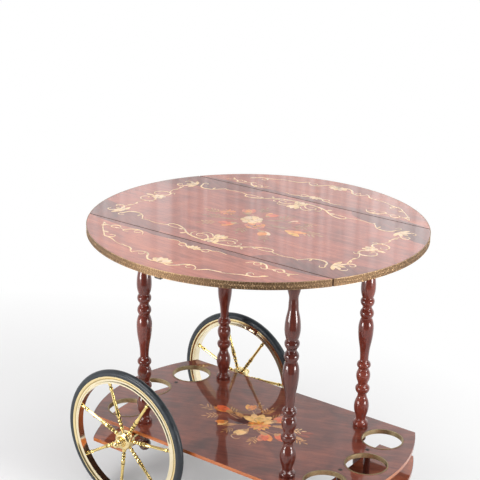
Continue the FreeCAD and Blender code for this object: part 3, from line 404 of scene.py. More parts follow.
def worn_metal(name, colour, tarnish, roughness, amount, painted_top_shade=0.0):
    """Metal with cloudy tarnish and specks and, where asked, painted shade on its upper side."""
    finish = Finish(name, METAL)
    cloud = metal_clouds(finish)
    specks = finish.noise(METAL_SPECKS, roughness=0.6)
    mask = tarnish_over(finish, blend(cloud, specks, METAL_CLOUD_SHARE), amount)
    # Painted shade on the upper side, where asked.
    if painted_top_shade:
        mask = mask.larger(painted_top_shade * finish.facing_up())
    finish.feed("Base Color", finish.mix(mask, rgba(colour), rgba(tarnish)))
    finish.feed("Roughness", finish.uneven(cloud, roughness, roughness * METAL_DULLING))
    return finish.material


def patinated_relief(name, bright, dark):
    """Pressed brass round the rim of the top: bright where it stands out, dark with age in the hollows."""
    finish = Finish(name, METAL)
    radius = finish.reach((0.0, 0.0, 0.0), (1.0, 1.0, 0.0))
    cloud = finish.noise(BAND_CLOUDS, detail=4.0, roughness=0.7, distortion=0.5)
    clean_radius = TOP_RADIUS - BAND_CLEAN_FROM * BAND_SINK
    raised = finish.spread(radius, TOP_RADIUS - BAND_SINK, clean_radius, 0.0, 1.0)
    clean = raised * finish.spread(cloud, *BAND_AGE, 1.0, BAND_AGED)
    finish.feed("Base Color", finish.mix(clean, rgba(dark), rgba(bright)))
    finish.feed("Roughness", finish.spread(clean, 0.0, 1.0, *BAND_ROUGHNESS))
    return finish.material


def rim_metal(name, inner, groove, outer):
    """Polished brass of a rim: pale within, painted shade along the groove, deeper gold beside the tyre."""
    finish = Finish(name, METAL)
    cloud = metal_clouds(finish)
    off_line = from_axle(finish) - (RIM_RADIUS - RIM_GROOVE)
    beside_tyre = finish.spread(off_line, 0.0, RIM_OUTER_FADE, 0.0, 1.0)
    # Painted shade along the groove.
    line = finish.spread(off_line, *RIM_LINE_FOOT, 0.0, 1.0)
    line = line * finish.spread(off_line, *RIM_LINE_HEAD, 1.0, 0.0)
    tone = finish.mix(beside_tyre, rgba(inner), rgba(outer))
    tarnish = rgba(shaded(outer, RIM_TARNISH_SHADE))
    worn = finish.mix(tarnish_over(finish, cloud, RIM_TARNISH), tone, tarnish)
    finish.feed("Base Color", finish.mix(line, worn, rgba(groove)))
    finish.feed("Roughness", finish.uneven(cloud, *RIM_ROUGHNESS))
    return finish.material


def spoke_metal(name, colour, tarnish):
    """Polished brass of turned spokes: cloudy tarnish, and rings of painted shade in the grooves."""
    finish = Finish(name, METAL)
    radius = from_axle(finish)
    tarnish_and_groove_shade = tarnish_over(finish, metal_clouds(finish), SPOKE_TARNISH)
    # Rings of painted shade in the grooves between beads.
    for ring in SPOKE_RINGS:
        tarnish_and_groove_shade = tarnish_and_groove_shade.larger(finish.spread(abs(radius - ring * MM), *SPOKE_RING_FADE, 1.0, 0.0))
    finish.feed("Base Color", finish.mix(tarnish_and_groove_shade, rgba(colour), rgba(tarnish)))
    finish.feed("Roughness", finish.spread(tarnish_and_groove_shade, 0.0, 1.0, *SPOKE_ROUGHNESS))
    return finish.material


def rubber(name, colour, roughness):
    """Moulded rubber with dusty patches and a faint skin."""
    finish = Finish(name, {"Specular IOR Level": 0.45})
    dust = finish.noise(RUBBER_DUST, detail=4.0, roughness=0.6, distortion=0.4)
    skin = finish.noise(RUBBER_SKIN, detail=2.0)
    tones = (colour, shaded(colour, RUBBER_DUST_SHADE))
    finish.feed("Base Color", finish.ramp(dust, RUBBER_DUST_STOPS, tones))
    finish.feed("Roughness", finish.uneven(dust, roughness, roughness + RUBBER_DULLING))
    finish.bump(skin, RUBBER_SKIN_DEPTH)
    return finish.material


def enamel(name, colour):
    """Dark brushed-on enamel."""
    finish = Finish(name, {"Coat Weight": 0.3, "Coat Roughness": 0.2})
    peel = finish.noise(ENAMEL_PEEL, detail=2.0)
    wear = finish.noise(ENAMEL_WEAR, detail=4.0)
    tones = (colour, shaded(colour, ENAMEL_WEAR_SHADE))
    finish.feed("Base Color", finish.ramp(wear, ENAMEL_WEAR_STOPS, tones))
    finish.feed("Roughness", finish.uneven(wear, *ENAMEL_ROUGHNESS))
    finish.bump(peel, ENAMEL_PEEL_DEPTH)
    return finish.material


# How far the grain is turned from the seams, in radians.
LEAF_GRAIN = 0.06
CORNER_GRAIN = 0.5
SHELF_GRAIN = -0.35

FIELD_VENEER = lacquered_veneer(
    "field_veneer", (0.27, 0.062, 0.038), (0.40, 0.105, 0.068), (0.52, 0.15, 0.095))
LEAF_VENEER = lacquered_veneer(
    "leaf_veneer", (0.29, 0.065, 0.036), (0.43, 0.11, 0.062), (0.55, 0.16, 0.09), LEAF_GRAIN)
CORNER_VENEER = lacquered_veneer(
    "corner_veneer", (0.145, 0.037, 0.026), (0.23, 0.063, 0.044), (0.30, 0.09, 0.063), CORNER_GRAIN)
SHELF_VENEER = lacquered_veneer(
    "shelf_veneer", (0.108, 0.023, 0.013), (0.178, 0.041, 0.024), (0.25, 0.066, 0.037), SHELF_GRAIN)
REST_VENEER = lacquered_veneer(
    "rest_veneer", (0.22, 0.05, 0.022), (0.36, 0.085, 0.036), (0.48, 0.13, 0.055), SHELF_GRAIN)
MAHOGANY = stain_and_painted_light_mahogany("turned_mahogany", 1.05)
# The back right column gets a copy with painted light, the front right one a copy with painted shade.
PAINTED_LIGHT_MAHOGANY = stain_and_painted_light_mahogany("painted_light_mahogany", 1.4)
PAINTED_SHADE_MAHOGANY = stain_and_painted_light_mahogany("painted_shade_mahogany", 0.68)
# Painted shade on the finials, legs and posts under the shelf.
UNDER_SHELF_SHADE_MAHOGANY = stain_and_painted_light_mahogany("under_shelf_shade_mahogany", 0.57)
EDGING = edge_tape(
    "edging_wood", (0.25, 0.058, 0.016), (0.40, 0.11, 0.03), (0.50, 0.165, 0.052), (0.165, 0.037, 0.022))
STAY_WOOD = turned_mahogany(
    "stay_wood", (0.012, 0.007, 0.006), (0.025, 0.014, 0.011), (0.04, 0.022, 0.017))
BRASS = worn_metal(
    "polished_brass", (0.90, 0.74, 0.40), (0.70, 0.52, 0.22), roughness=0.17, amount=0.6)
SPOKE_BRASS = spoke_metal("spoke_brass", (0.92, 0.71, 0.28), (0.16, 0.105, 0.03))
RIM_BRASS = rim_metal("rim_brass", (0.96, 0.86, 0.62), (0.46, 0.33, 0.13), (0.93, 0.76, 0.42))
BAND_BRASS = patinated_relief("embossed_band_brass", (0.73, 0.49, 0.27), (0.18, 0.11, 0.062))
# The bottle rings carry painted shade on their upper side.
RING_BRASS = worn_metal(
    "ring_brass", (0.60, 0.47, 0.27), (0.23, 0.17, 0.086), roughness=0.3, amount=0.7, painted_top_shade=0.9)
BLACKED_STEEL = worn_metal(
    "blacked_steel", (0.07, 0.06, 0.055), (0.03, 0.026, 0.024), roughness=0.35, amount=0.6)
HINGE_BRASS = worn_metal(
    "hinge_brass", (0.66, 0.49, 0.22), (0.36, 0.25, 0.1), roughness=0.28, amount=0.7)
STEEL = worn_metal(
    "plain_steel", (0.52, 0.51, 0.5), (0.3, 0.28, 0.26), roughness=0.3, amount=0.6)
TYRE = rubber("tyre_rubber", (0.013, 0.017, 0.021), roughness=0.32)
CASTER_TREAD = rubber("caster_tread", (0.018, 0.018, 0.019), roughness=0.5)
BRACKET_ENAMEL = enamel("bracket_enamel", (0.03, 0.024, 0.02))

WOOD_COLOURS = {
    "cream": (0.91, 0.60, 0.30),
    "pale": (0.89, 0.61, 0.38),
    "orange": (0.80, 0.27, 0.06),
    "scarlet": (0.72, 0.14, 0.055),
    "rose": (0.68, 0.21, 0.13),
    "amber": (0.85, 0.42, 0.07),
    "olive": (0.38, 0.20, 0.10),
    "tan": (0.54, 0.28, 0.13),
    "russet": (0.30, 0.07, 0.045),
    "maroon": (0.07, 0.012, 0.012),
}
WOOD_ORDER = list(WOOD_COLOURS) + ["corner"]
# The shelf's woods are a warmer copy of the same woods: painted light for the shelf in the top's shade.
TOP_PAINTED_LIGHT = (1.0, 1.0, 1.0)
SHELF_PAINTED_LIGHT = (1.08, 0.95, 0.7)


def wood_set(board, painted_light):
    """The inlay woods of one board; a painted light other than 1 shifts their red, green and blue."""
    woods = []
    for wood, colour in WOOD_COLOURS.items():
        woods.append(inlay_wood(f"{board}_{wood}", [part * shift for part, shift in zip(colour, painted_light)]))
    return woods + [CORNER_VENEER]


TOP_WOODS = wood_set("top", TOP_PAINTED_LIGHT)
SHELF_WOODS = wood_set("shelf", SHELF_PAINTED_LIGHT)


# Making pieces.

def add_piece(name, bm, materials, body, smooth_angle=None):
    """Turns a bmesh into a piece that rides on a body."""
    mesh = bpy.data.meshes.new(name)
    bm.to_mesh(mesh)
    bm.free()
    for material in materials:
        mesh.materials.append(material)
    if smooth_angle is not None:
        mesh.shade_smooth()
        mesh.set_sharp_from_angle(angle=math.radians(smooth_angle))
    piece = bpy.data.objects.new(name, mesh)
    bpy.context.scene.collection.objects.link(piece)
    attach(piece, body)
    return piece


def body_of_node(node):
    for body, members in frame["record"]["behaviour"]["bodies"].items():
        if node in members:
            return body


def paint(node, material):
    """Gives a node that is shown as it is its material."""
    mesh = nodes[node].data
    mesh.materials.clear()
    mesh.materials.append(material)


# Inlay. Millimetres: the depth of a sheet, how high each layer stands over the board, and the step between
# sheets of one layer that overlap.

SHEET_DEPTH = 0.3
LIFT = {"ground": 0.02, "stem": 0.065, "leaf": 0.11, "flower": 0.155, "heart": 0.2}
STACK_STEP = 0.003

# Points round a petal, steps between two points of a curve, how much wider ribbons are than they are drawn,
# and how much wider a petal is towards its tip.
PETAL_POINTS = 16
CURVE_STEPS = 5
SCROLL_WEIGHT = 1.3
PETAL_SWELL = 0.35


def flat_line():
    """A straight profile one millimetre wide: swept along a curve it gives a ribbon."""
    curve = bpy.data.curves.new("ribbon_profile", "CURVE")
    spline = curve.splines.new("POLY")
    spline.points.add(1)
    spline.points[0].co = (-0.5 * MM, 0, 0, 1)
    spline.points[1].co = (0.5 * MM, 0, 0, 1)
    profile = bpy.data.objects.new("ribbon_profile", curve)
    bpy.context.scene.collection.objects.link(profile)
    return profile


RIBBON = flat_line()


def smooth_curve(points, widths, closed, sharp=()):
    """A sheet from a curve that passes smoothly through points: a ribbon, or a filled outline when closed."""
    curve = bpy.data.curves.new("inlay_curve", "CURVE")
    curve.resolution_u = CURVE_STEPS
    if closed:
        curve.dimensions = "2D"
        curve.fill_mode = "FRONT"
    else:
        curve.dimensions = "3D"
        curve.twist_mode = "Z_UP"
        curve.bevel_mode = "OBJECT"
        curve.bevel_object = RIBBON
    spline = curve.splines.new("BEZIER")
    spline.use_cyclic_u = closed
    spline.bezier_points.add(len(points) - 1)
    for index, (knot, (x, y), width) in enumerate(zip(spline.bezier_points, points, widths)):
        knot.co = (x * MM, y * MM, 0)
        knot.radius = width
        handle = "VECTOR" if index in sharp else "AUTO"
        knot.handle_left_type = handle
        knot.handle_right_type = handle
    holder = bpy.data.objects.new("inlay_curve", curve)
    bpy.context.scene.collection.objects.link(holder)
    bpy.context.view_layer.update()
    mesh = bpy.data.meshes.new_from_object(holder.evaluated_get(bpy.context.evaluated_depsgraph_get()))
    sheet = bmesh.new()
    sheet.from_mesh(mesh)
    bpy.data.meshes.remove(mesh)
    bpy.data.objects.remove(holder)
    bpy.data.curves.remove(curve)
    return sheet


class Inlay:
    """Flat sheets of wood let into a board, drawn in millimetres from the middle of the board."""

    def __init__(self, z, woods):
        self.z = z
        self.woods = woods
        self.bm = bmesh.new()
        self.flips = ((1, 1),)
        self.laid = {layer: [] for layer in LIFT}

    def free_level(self, sheet, layer):
        """The lowest step of a layer on which no sheet laid before overlaps the box of this one."""
        low = [min(vert.co[axis] for vert in sheet.verts) for axis in (0, 1)]
        high = [max(vert.co[axis] for vert in sheet.verts) for axis in (0, 1)]
        taken = set()
        for level, other_low, other_high in self.laid[layer]:
            if all(low[axis] < other_high[axis] and high[axis] > other_low[axis] for axis in (0, 1)):
                taken.add(level)
        level = min(set(range(len(taken) + 1)) - taken)
        self.laid[layer].append((level, low, high))
        return level

    def lay(self, sheet, wood, layer):
        """Adds a sheet at every mirrored place: facing up, in its wood, clear of the sheets it overlaps."""
        for x_sign, y_sign in self.flips:
            copy = sheet.copy()
            for vert in copy.verts:
                vert.co = (vert.co.x * x_sign, vert.co.y * y_sign, 0)
            height = self.z + (LIFT[layer] + self.free_level(copy, layer) * STACK_STEP) * MM
            for vert in copy.verts:
                vert.co.z = height
            for face in copy.faces:
                face.material_index = WOOD_ORDER.index(wood)
                face.normal_update()
            bmesh.ops.reverse_faces(copy, faces=[face for face in copy.faces if face.normal.z < 0])
            mesh = bpy.data.meshes.new("sheet")
            copy.to_mesh(mesh)
            copy.free()
            self.bm.from_mesh(mesh)
            bpy.data.meshes.remove(mesh)
        sheet.free()

    def scroll(self, points, widths, wood="cream", layer="leaf"):
        """A ribbon through points; its width runs from the first to the middle to the last given."""
        count = len(points) - 1
        spread = []
        for index in range(count + 1):
            place = 2.0 * index / count
            low, high = (widths[0], widths[1]) if place <= 1 else (widths[1], widths[2])
            spread.append(SCROLL_WEIGHT * (low + (high - low) * (place if place <= 1 else place - 1)))
        self.lay(smooth_curve(points, spread, False), wood, layer)

    def patch(self, points, wood, sharp=()):
        """A filled outline under all the rest; the points numbered in sharp are corners."""
        self.lay(smooth_curve(points, [1] * len(points), True, sharp), wood, "ground")

    def petal(self, at, length, width, heading, wood, layer="leaf", point=1.0, bend=0.0):
        """A leaf or petal along a heading: point 1 is sharp, 0 an oval, and bend shifts its tip."""
        sheet = bmesh.new()
        bmesh.ops.create_circle(sheet, cap_ends=True, segments=PETAL_POINTS, radius=1.0)
        for vert in sheet.verts:
            along = vert.co.x
            vert.co.y *= (1 - point) + point * abs(vert.co.y)
            vert.co.y *= 1 + PETAL_SWELL * along
            vert.co.y = vert.co.y * width / 2 + bend * (along + 1) ** 2 / 4
            vert.co.x = (along + 1) * length / 2
        foot = Matrix.Translation((at[0] * MM, at[1] * MM, 0))
        turn = Matrix.Rotation(math.radians(heading), 4, "Z")
        bmesh.ops.transform(sheet, matrix=foot @ turn @ Matrix.Scale(MM, 4), verts=sheet.verts[:])
        self.lay(sheet, wood, layer)

    def disc(self, at, width, wood, layer="heart"):
        self.petal((at[0] - width / 2, at[1]), width, width, 0, wood, layer, 0.0)

    def piece(self, name, body, slot):
        """Gives every sheet its depth, sunk into the board, and makes the piece."""
        sheets = self.bm.faces[:]
        for vert in self.bm.verts:
            vert.co.z -= SHEET_DEPTH * MM
        made = bmesh.ops.extrude_face_region(self.bm, geom=sheets, use_keep_orig=True)["geom"]
        risen = [item for item in made if isinstance(item, bmesh.types.BMVert)]
        bmesh.ops.translate(self.bm, verts=risen, vec=(0, 0, SHEET_DEPTH * MM))
        bmesh.ops.reverse_faces(self.bm, faces=sheets)
        return add_piece(name, self.bm, self.woods, body)


# Flowers. A rose's whorl: the points of each ribbon, as shares of the rose's size from its middle and degrees
# round it. A spray: its pairs of leaves, their length as a share of the spray's, their width as a share of
# their own length, and how many degrees they open.

WHORL = ((0.12, 0.0), (0.27, 14.3239), (0.33, 51.5662))
SPRAY_PAIRS = 3
SPRAY_BLADE = 0.42
SPRAY_WIDTH = 0.22
SPRAY_OPENING = 42


def step_off(at, heading, distance):
    """The point at a distance from another along a heading in degrees."""
    turn = math.radians(heading)
    return (at[0] + math.cos(turn) * distance, at[1] + math.sin(turn) * distance)


def halfway(start, end):
    return ((start[0] + end[0]) / 2, (start[1] + end[1]) / 2)


def petal_ring(inlay, at, length, width, count, start, woods, layer, point):
    """Petals all round a point, in two woods by turns."""
    for index in range(count):
        inlay.petal(at, length, width, start + index * 360 / count, woods[index % 2], layer, point)


def fan(inlay, at, length, width, heading, step, count, woods, layer="flower", point=0.6):
    """Petals that open like a hand."""
    for index in range(count):
        turn = heading + step * (index - (count - 1) / 2)
        inlay.petal(at, length, width, turn, woods[index % len(woods)], layer, point)


def rose(inlay, at, size, woods, heart):
    """An open flower: two rings of broad petals round a whorl."""
    petal_ring(inlay, at, size * 0.52, size * 0.40, 7, 0, woods, "leaf", 0.15)
    petal_ring(inlay, at, size * 0.34, size * 0.27, 5, 25, woods[::-1], "flower", 0.15)
    for index in range(5):
        turn = 40 + index * 72
        ribbon = [step_off(at, turn + bend, size * share) for share, bend in WHORL]
        inlay.scroll(ribbon, (0.4, 0.9, 0.3), heart, "heart")
    inlay.disc(at, size * 0.14, heart)


def marigold(inlay, at, size, woods, heart):
    """A many-petalled flower."""
    petal_ring(inlay, at, size * 0.52, size * 0.17, 13, 0, woods, "leaf", 0.35)
    petal_ring(inlay, at, size * 0.34, size * 0.14, 9, 12, woods[::-1], "flower", 0.35)
    inlay.disc(at, size * 0.2, heart)


def tulip(inlay, at, size, heading, woods, opening=34):
    """A closed flower seen from the side: three petals and a small cup."""
    foot = step_off(at, heading, -size / 2)
    fan(inlay, foot, size, size * 0.42, heading, opening, 2, woods, "leaf", 0.75)
    inlay.petal(foot, size * 0.9, size * 0.4, heading, woods[-1], "flower", 0.75)
    inlay.petal(foot, size * 0.34, size * 0.3, heading, "tan", "heart", 0.2)


def spray(inlay, at, length, heading, wood):
    """A twig with leaves on both sides and one at its tip."""
    tip = step_off(at, heading, length * 0.8)
    inlay.scroll([at, halfway(at, tip), tip], (1.0, 0.9, 0.5), wood, "stem")
    blade = length * SPRAY_BLADE
    width = blade * SPRAY_WIDTH
    for index in range(SPRAY_PAIRS):
        foot = step_off(at, heading, length * (0.15 + 0.6 * index / SPRAY_PAIRS))
        for side in (-1, 1):
            turn = heading + side * SPRAY_OPENING
            inlay.petal(foot, blade, width, turn, wood, "leaf", 0.9, side * blade * 0.1)
    inlay.petal(tip, blade * 0.8, width, heading, wood, "leaf", 0.9)


def stem(inlay, start, end, sag, wood="olive"):
    """A thin stalk between two points, bowed sideways."""
    x, y = halfway(start, end)
    bowed = (x - sag * (end[1] - start[1]), y + sag * (end[0] - start[0]))
    inlay.scroll([start, bowed, end], (1.4, 1.2, 0.8), wood, "stem")


# Inlay of the top: points of one quarter, along the seams and out from the middle line, mirrored to the other
# quarters. It keeps clear of the brass band and of the seams by these millimetres.

BAND_CLEAR = 1.6
SEAM_CLEAR = 0.3
QUARTERS = ((1, 1), (-1, 1), (1, -1), (-1, -1))
LENGTHWAYS = ((1, 1), (-1, 1))
CROSSWAYS = ((1, 1), (1, -1))
PANEL_RIM = TOP_RADIUS / MM - BAND_CLEAR
SEAM = PANEL_EDGE / MM - SEAM_CLEAR
LEAF_SEAM = LEAF_EDGE / MM + SEAM_CLEAR
CORNER_EDGE = [(122, SEAM), (127, 188), (142, 172), (170, 160), (200, 152), (216, 143), (229, 130),
               (247, 123), (264, 127), (282, 127), (303, 116), (328, 103)]


def rim_points(first, last, count):
    """Points on the rim of the top between two distances from the middle line."""
    start = math.asin(first / PANEL_RIM)
    end = math.asin(last / PANEL_RIM)
    turns = [start + (end - start) * index / (count - 1) for index in range(count)]
    return [(PANEL_RIM * math.cos(turn), PANEL_RIM * math.sin(turn)) for turn in turns]


def corner_veneers(inlay):
    """Dark veneer in the four corners of the centre panel, outside the scrolled border."""
    inlay.flips = QUARTERS
    rim = rim_points(96, SEAM, 6)
    outline = CORNER_EDGE + rim
    inlay.patch(outline, "corner", sharp=(0, len(CORNER_EDGE), len(outline) - 1))


def middle_scrolls(inlay):
    """The shell in the middle of each long side, with a scroll to each side of it."""
    inlay.flips = CROSSWAYS
    fan(inlay, (0, 152), 31, 14, 90, 27, 3, ("cream", "pale", "cream"), "flower", 0.3)
    fan(inlay, (0, 160), 34, 12, -90, 22, 3, ("cream", "pale", "cream"), "flower", 0.4)
    inlay.petal((0, 142), 30, 17, 90, "cream", "heart", 0.2)
    for lean in (-16, 16):
        inlay.petal((0, 154), 20, 3, 90 + lean, "tan", "heart", 0.8)
    inlay.flips = QUARTERS
    inlay.scroll([(8, 180), (37, 176), (57, 171), (75, 162), (90, 150), (107, 140), (125, 135), (138, 139),
                  (137, 148), (124, 152), (107, 151), (95, 147)], (3.4, 2.8, 0.9))
    inlay.scroll([(14, 164), (25, 152), (38, 147), (49, 152), (48, 161), (38, 163), (33, 157)],
                 (2.6, 2.0, 0.8))
    inlay.scroll([(13, 148), (22, 138), (34, 134), (45, 138), (46, 145)], (2.0, 1.7, 0.7))
    inlay.scroll([(56, 170), (64, 158), (62, 148), (54, 146)], (1.8, 1.6, 0.6))
    inlay.petal((74, 163), 15, 6, 62, "cream", "leaf", 0.9, -2)
    inlay.petal((90, 150), 14, 5, 10, "pale", "leaf", 0.9, 2)


def corner_scrolls(inlay):
    """The line to each corner, its arch and its spray of leaves."""
    inlay.flips = QUARTERS
    inlay.scroll([(137, 147), (157, 153), (177, 154), (197, 150), (210, 155)], (1.8, 1.4, 0.8))
    inlay.scroll([(206, 154), (215, 144), (225, 132), (240, 125), (255, 125), (265, 132), (270, 145),
                  (274, 157), (267, 161), (261, 153)], (1.4, 3.4, 1.1))
    inlay.petal((228, 130), 14, 5, 75, "cream", "leaf", 0.9, 2)
    fan(inlay, (279, 134), 29, 9, -12, 33, 5, ("cream", "pale"), "flower", 0.75)
    inlay.scroll([(294, 118), (302, 107), (313, 104), (320, 112), (313, 118), (308, 114)], (3.0, 2.4, 0.8))
    inlay.scroll([(296, 141), (307, 148), (318, 143), (316, 134)], (2.4, 2.0, 0.7))
    inlay.scroll([(298, 106), (293, 84), (297, 64), (291, 46)], (1.9, 1.3, 1.4))
    inlay.petal((294, 86), 13, 5, 55, "cream", "leaf", 0.9, 2)
    inlay.petal((297, 66), 12, 5, 125, "cream", "leaf", 0.9, -2)


def end_scrolls(inlay):
    """The flower at each end of the panel between two curls."""
    inlay.flips = LENGTHWAYS
    fan(inlay, (288, 0), 17, 10, 0, 60, 6, ("cream", "pale"), "flower", 0.3)
    inlay.disc((288, 0), 6, "tan")
    inlay.petal((300, 0), 26, 9, 0, "cream", "leaf", 0.9)
    inlay.flips = QUARTERS
    inlay.scroll([(290, 11), (279, 24), (283, 38), (301, 42), (316, 32), (316, 18), (305, 15), (301, 23)],
                 (3.4, 2.8, 0.9))
    inlay.scroll([(292, 46), (284, 41), (276, 44), (271, 36)], (2.0, 1.7, 0.6))


def leaf_garland(inlay, y_sign):
    """The garland of one drop leaf: a seam side and a rim side with a shell in the middle of each."""
    both = ((1, y_sign), (-1, y_sign))
    inlay.flips = both
    inlay.patch([(0, LEAF_SEAM), (314, LEAF_SEAM), (296, 207), (262, 212), (230, 215), (200, 216), (165, 214),
                 (140, 216), (128, 220), (90, 219), (52, 219), (30, 225), (12, 236), (0, 238)], "corner",
                sharp=(0, 1, 13))
    inlay.scroll([(5, 239), (18, 232), (30, 222), (43, 222), (52, 217), (78, 221)], (3.0, 2.2, 0.8))
    inlay.scroll([(20, 233), (31, 237), (39, 231), (34, 226)], (2.0, 1.7, 0.7))
    inlay.scroll([(137, 236), (146, 223), (160, 216), (174, 219), (184, 228), (189, 238), (180, 241),
                  (175, 235)], (1.0, 3.4, 0.9))
    inlay.scroll([(150, 221), (153, 230), (161, 233), (166, 227)], (1.8, 1.6, 0.6))
    inlay.scroll([(189, 236), (202, 231), (212, 222), (222, 223), (227, 232), (220, 238), (213, 233)],
                 (0.8, 3.2, 0.8))
    inlay.scroll([(227, 231), (240, 233), (257, 223)], (1.2, 2.6, 1.2))
    inlay.petal((160, 216), 13, 5, 40, "cream", "leaf", 0.9, 2)
    inlay.petal((200, 233), 14, 5, 10, "pale", "leaf", 0.9, 2)
    inlay.petal((239, 232), 15, 6, 60, "cream", "leaf", 0.9, -2)
    # A link joins the two sides at one end; the other end is open, with a leaf at its tip.
    inlay.flips = ((y_sign, y_sign),)
    inlay.scroll([(257, 223), (247, 238), (233, 254), (218, 269), (203, 283)], (2.2, 1.6, 2.2))
    inlay.petal((218, 269), 16, 6, 170, "cream", "leaf", 0.9, 2)
    inlay.flips = ((-y_sign, y_sign),)
    inlay.petal((202, 284), 22, 7, -52, "cream", "leaf", 0.9, 2)
    inlay.flips = both
    inlay.scroll([(206, 280), (197, 289), (184, 291), (175, 282), (182, 275), (190, 280)], (2.4, 3.0, 1.0))
    inlay.scroll([(186, 291), (167, 297), (152, 305), (135, 311), (117, 312)], (2.8, 1.4, 0.8))
    inlay.scroll([(131, 308), (117, 312), (104, 314), (96, 319), (88, 329), (80, 334)], (1.4, 3.6, 1.2))
    inlay.scroll([(82, 333), (75, 320), (60, 315), (48, 321), (38, 336), (24, 345), (8, 342)],
                 (1.2, 3.6, 2.8))
    inlay.scroll([(60, 316), (56, 326), (62, 332), (68, 327)], (1.8, 1.5, 0.6))
    inlay.flips = ((1, y_sign),)
    fan(inlay, (0, 238), 20, 7, -90, 30, 5, ("cream", "pale"), "flower", 0.6)
    fan(inlay, (0, 346), 30, 13, -90, 27, 5, ("cream", "pale"), "flower", 0.4)
    inlay.petal((0, 348), 14, 9, -90, "tan", "heart", 0.7)


def top_bouquet(inlay):
    """Flowers in the middle of the top."""
    inlay.flips = ((1, 1),)
    heart = (-8, -8)
    for end, sag in (((-92, 8), 0.1), ((-57, 40), -0.1), ((-2, 50), 0.08), ((65, 42), 0.12),
                     ((100, -14), -0.12), ((-42, -52), 0.12), ((55, -58), -0.1), ((-138, -6), -0.06),
                     ((140, 4), 0.05)):
        stem(inlay, heart, end, sag)
    for at, length, heading, wood in (((-104, 2), 40, 187, "tan"), ((-78, -22), 46, 205, "olive"),
                                      ((-66, -62), 44, 222, "tan"), ((-28, 52), 40, 105, "olive"),
                                      ((22, 40), 42, 60, "olive"), ((78, 14), 46, 28, "olive"),
                                      ((112, -4), 52, 8, "tan"), ((62, -70), 40, -50, "olive"),
                                      ((4, -52), 44, -82, "olive"), ((86, 44), 32, 25, "tan")):
        spray(inlay, at, length, heading, wood)
    for at, length, heading in (((-30, 14), 34, 150), ((10, 14), 36, 35), ((30, -8), 42, 5),
                                ((-38, -20), 40, 195), ((-22, -36), 34, 240), ((26, -44), 36, -30)):
        inlay.petal(at, length * 1.25, length * 0.22, heading, "olive", "leaf", 0.9, 3)
    marigold(inlay, (-92, 10), 38, ("orange", "rose"), "tan")
    tulip(inlay, (-57, 43), 40, 125, ("scarlet", "rose", "orange"))
    tulip(inlay, (-2, 52), 35, 85, ("scarlet", "orange", "scarlet"))
    tulip(inlay, (66, 44), 28, 50, ("rose", "pale", "rose"))
    for lean, wood in ((-13, "amber"), (11, "orange")):
        inlay.petal((80, -14), 52, 17, -2 + lean, wood, "flower", 0.9, lean / 4)
    tulip(inlay, (-44, -55), 42, 232, ("scarlet", "orange", "scarlet"))
    tulip(inlay, (57, -61), 36, -45, ("orange", "pale", "orange"))
    rose(inlay, (12, -30), 46, ("rose", "orange"), "maroon")
    rose(inlay, (-17, -1), 50, ("cream", "pale"), "tan")


def shelf_bouquet(inlay):
    """Flowers in the middle of the shelf."""
    inlay.flips = ((1, 1),)
    heart = (4, 0)
    for end, sag in (((-95, 15), 0.1), ((-50, 58), -0.1), ((41, 48), 0.1), ((90, -14), -0.08),
                     ((62, -36), -0.1), ((5, -48), 0.08), ((-58, -38), 0.12), ((126, 24), 0.06),
                     ((-140, 0), -0.06)):
        stem(inlay, heart, end, sag, "tan")
    for at, length, heading, wood in (((-106, 4), 46, 186, "tan"), ((-84, -12), 42, 225, "tan"),
                                      ((-30, 52), 46, 112, "olive"), ((-8, 48), 44, 88, "tan"),
                                      ((20, 44), 40, 65, "olive"), ((84, 22), 40, 28, "pale"),
                                      ((112, -4), 42, -2, "tan"), ((44, -48), 40, -75, "tan"),
                                      ((-18, -46), 36, -110, "olive"), ((72, -2), 44, -12, "olive"),
                                      ((-56, 18), 44, 168, "olive")):
        spray(inlay, at, length, heading, wood)
    for at, length, heading in (((-30, 10), 36, 160), ((44, 18), 40, 20), ((34, -20), 40, -25),
                                ((-24, -26), 38, 220), ((8, -26), 36, -80)):
        inlay.petal(at, length, length * 0.36, heading, "tan", "leaf", 0.9, 3)
    for heading in (150, 185, 220):
        inlay.petal((-8, -4), 34, 15, heading, "maroon", "leaf", 0.7)
    inlay.scroll([(4, -66), (-4, -76), (4, -86), (18, -84), (20, -76)], (2.6, 2.2, 0.8), "tan")
    tulip(inlay, (-96, 15), 52, 178, ("scarlet", "orange", "scarlet"), 14)
    tulip(inlay, (-50, 61), 34, 115, ("orange", "amber", "orange"))
    tulip(inlay, (42, 51), 44, 62, ("orange", "rose", "scarlet"))
    tulip(inlay, (91, -15), 42, -10, ("scarlet", "orange", "scarlet"))
    tulip(inlay, (63, -39), 44, -55, ("rose", "orange", "scarlet"))
    tulip(inlay, (5, -51), 40, 255, ("cream", "pale", "cream"), 20)
    tulip(inlay, (-59, -41), 32, 235, ("orange", "cream", "orange"))
    for at, heading, wood in (((112, 30), 22, "russet"), ((112, 20), 4, "russet"), ((108, 10), -18, "tan")):
        inlay.petal(at, 34, 10, heading, wood, "flower", 0.8, 3)
    fan(inlay, (8, 8), 46, 19, 108, 30, 5, ("cream", "pale"), "flower", 0.6)
    marigold(inlay, (18, 2), 54, ("amber", "orange"), "orange")


def make_inlays():
    panel = Inlay(TOP_Z, TOP_WOODS)
    corner_veneers(panel)
    middle_scrolls(panel)
    corner_scrolls(panel)
    end_scrolls(panel)
    top_bouquet(panel)
    panel.piece("marquetry_centre", "cart_frame", "veneer_top")
    for side, y_sign in SIDES:
        leaf = Inlay(TOP_Z, TOP_WOODS)
        leaf_garland(leaf, y_sign)
        leaf.piece(f"marquetry_leaf_{side}", f"leaf_{side}", "veneer_top")
    shelf = Inlay(SHELF_Z, SHELF_WOODS)
    shelf_bouquet(shelf)
    shelf.piece("marquetry_shelf", "cart_frame", "veneer_shelf")
    bpy.data.objects.remove(RIBBON)


# Embossed band round the top.

STEPS_PER_TURN = 400

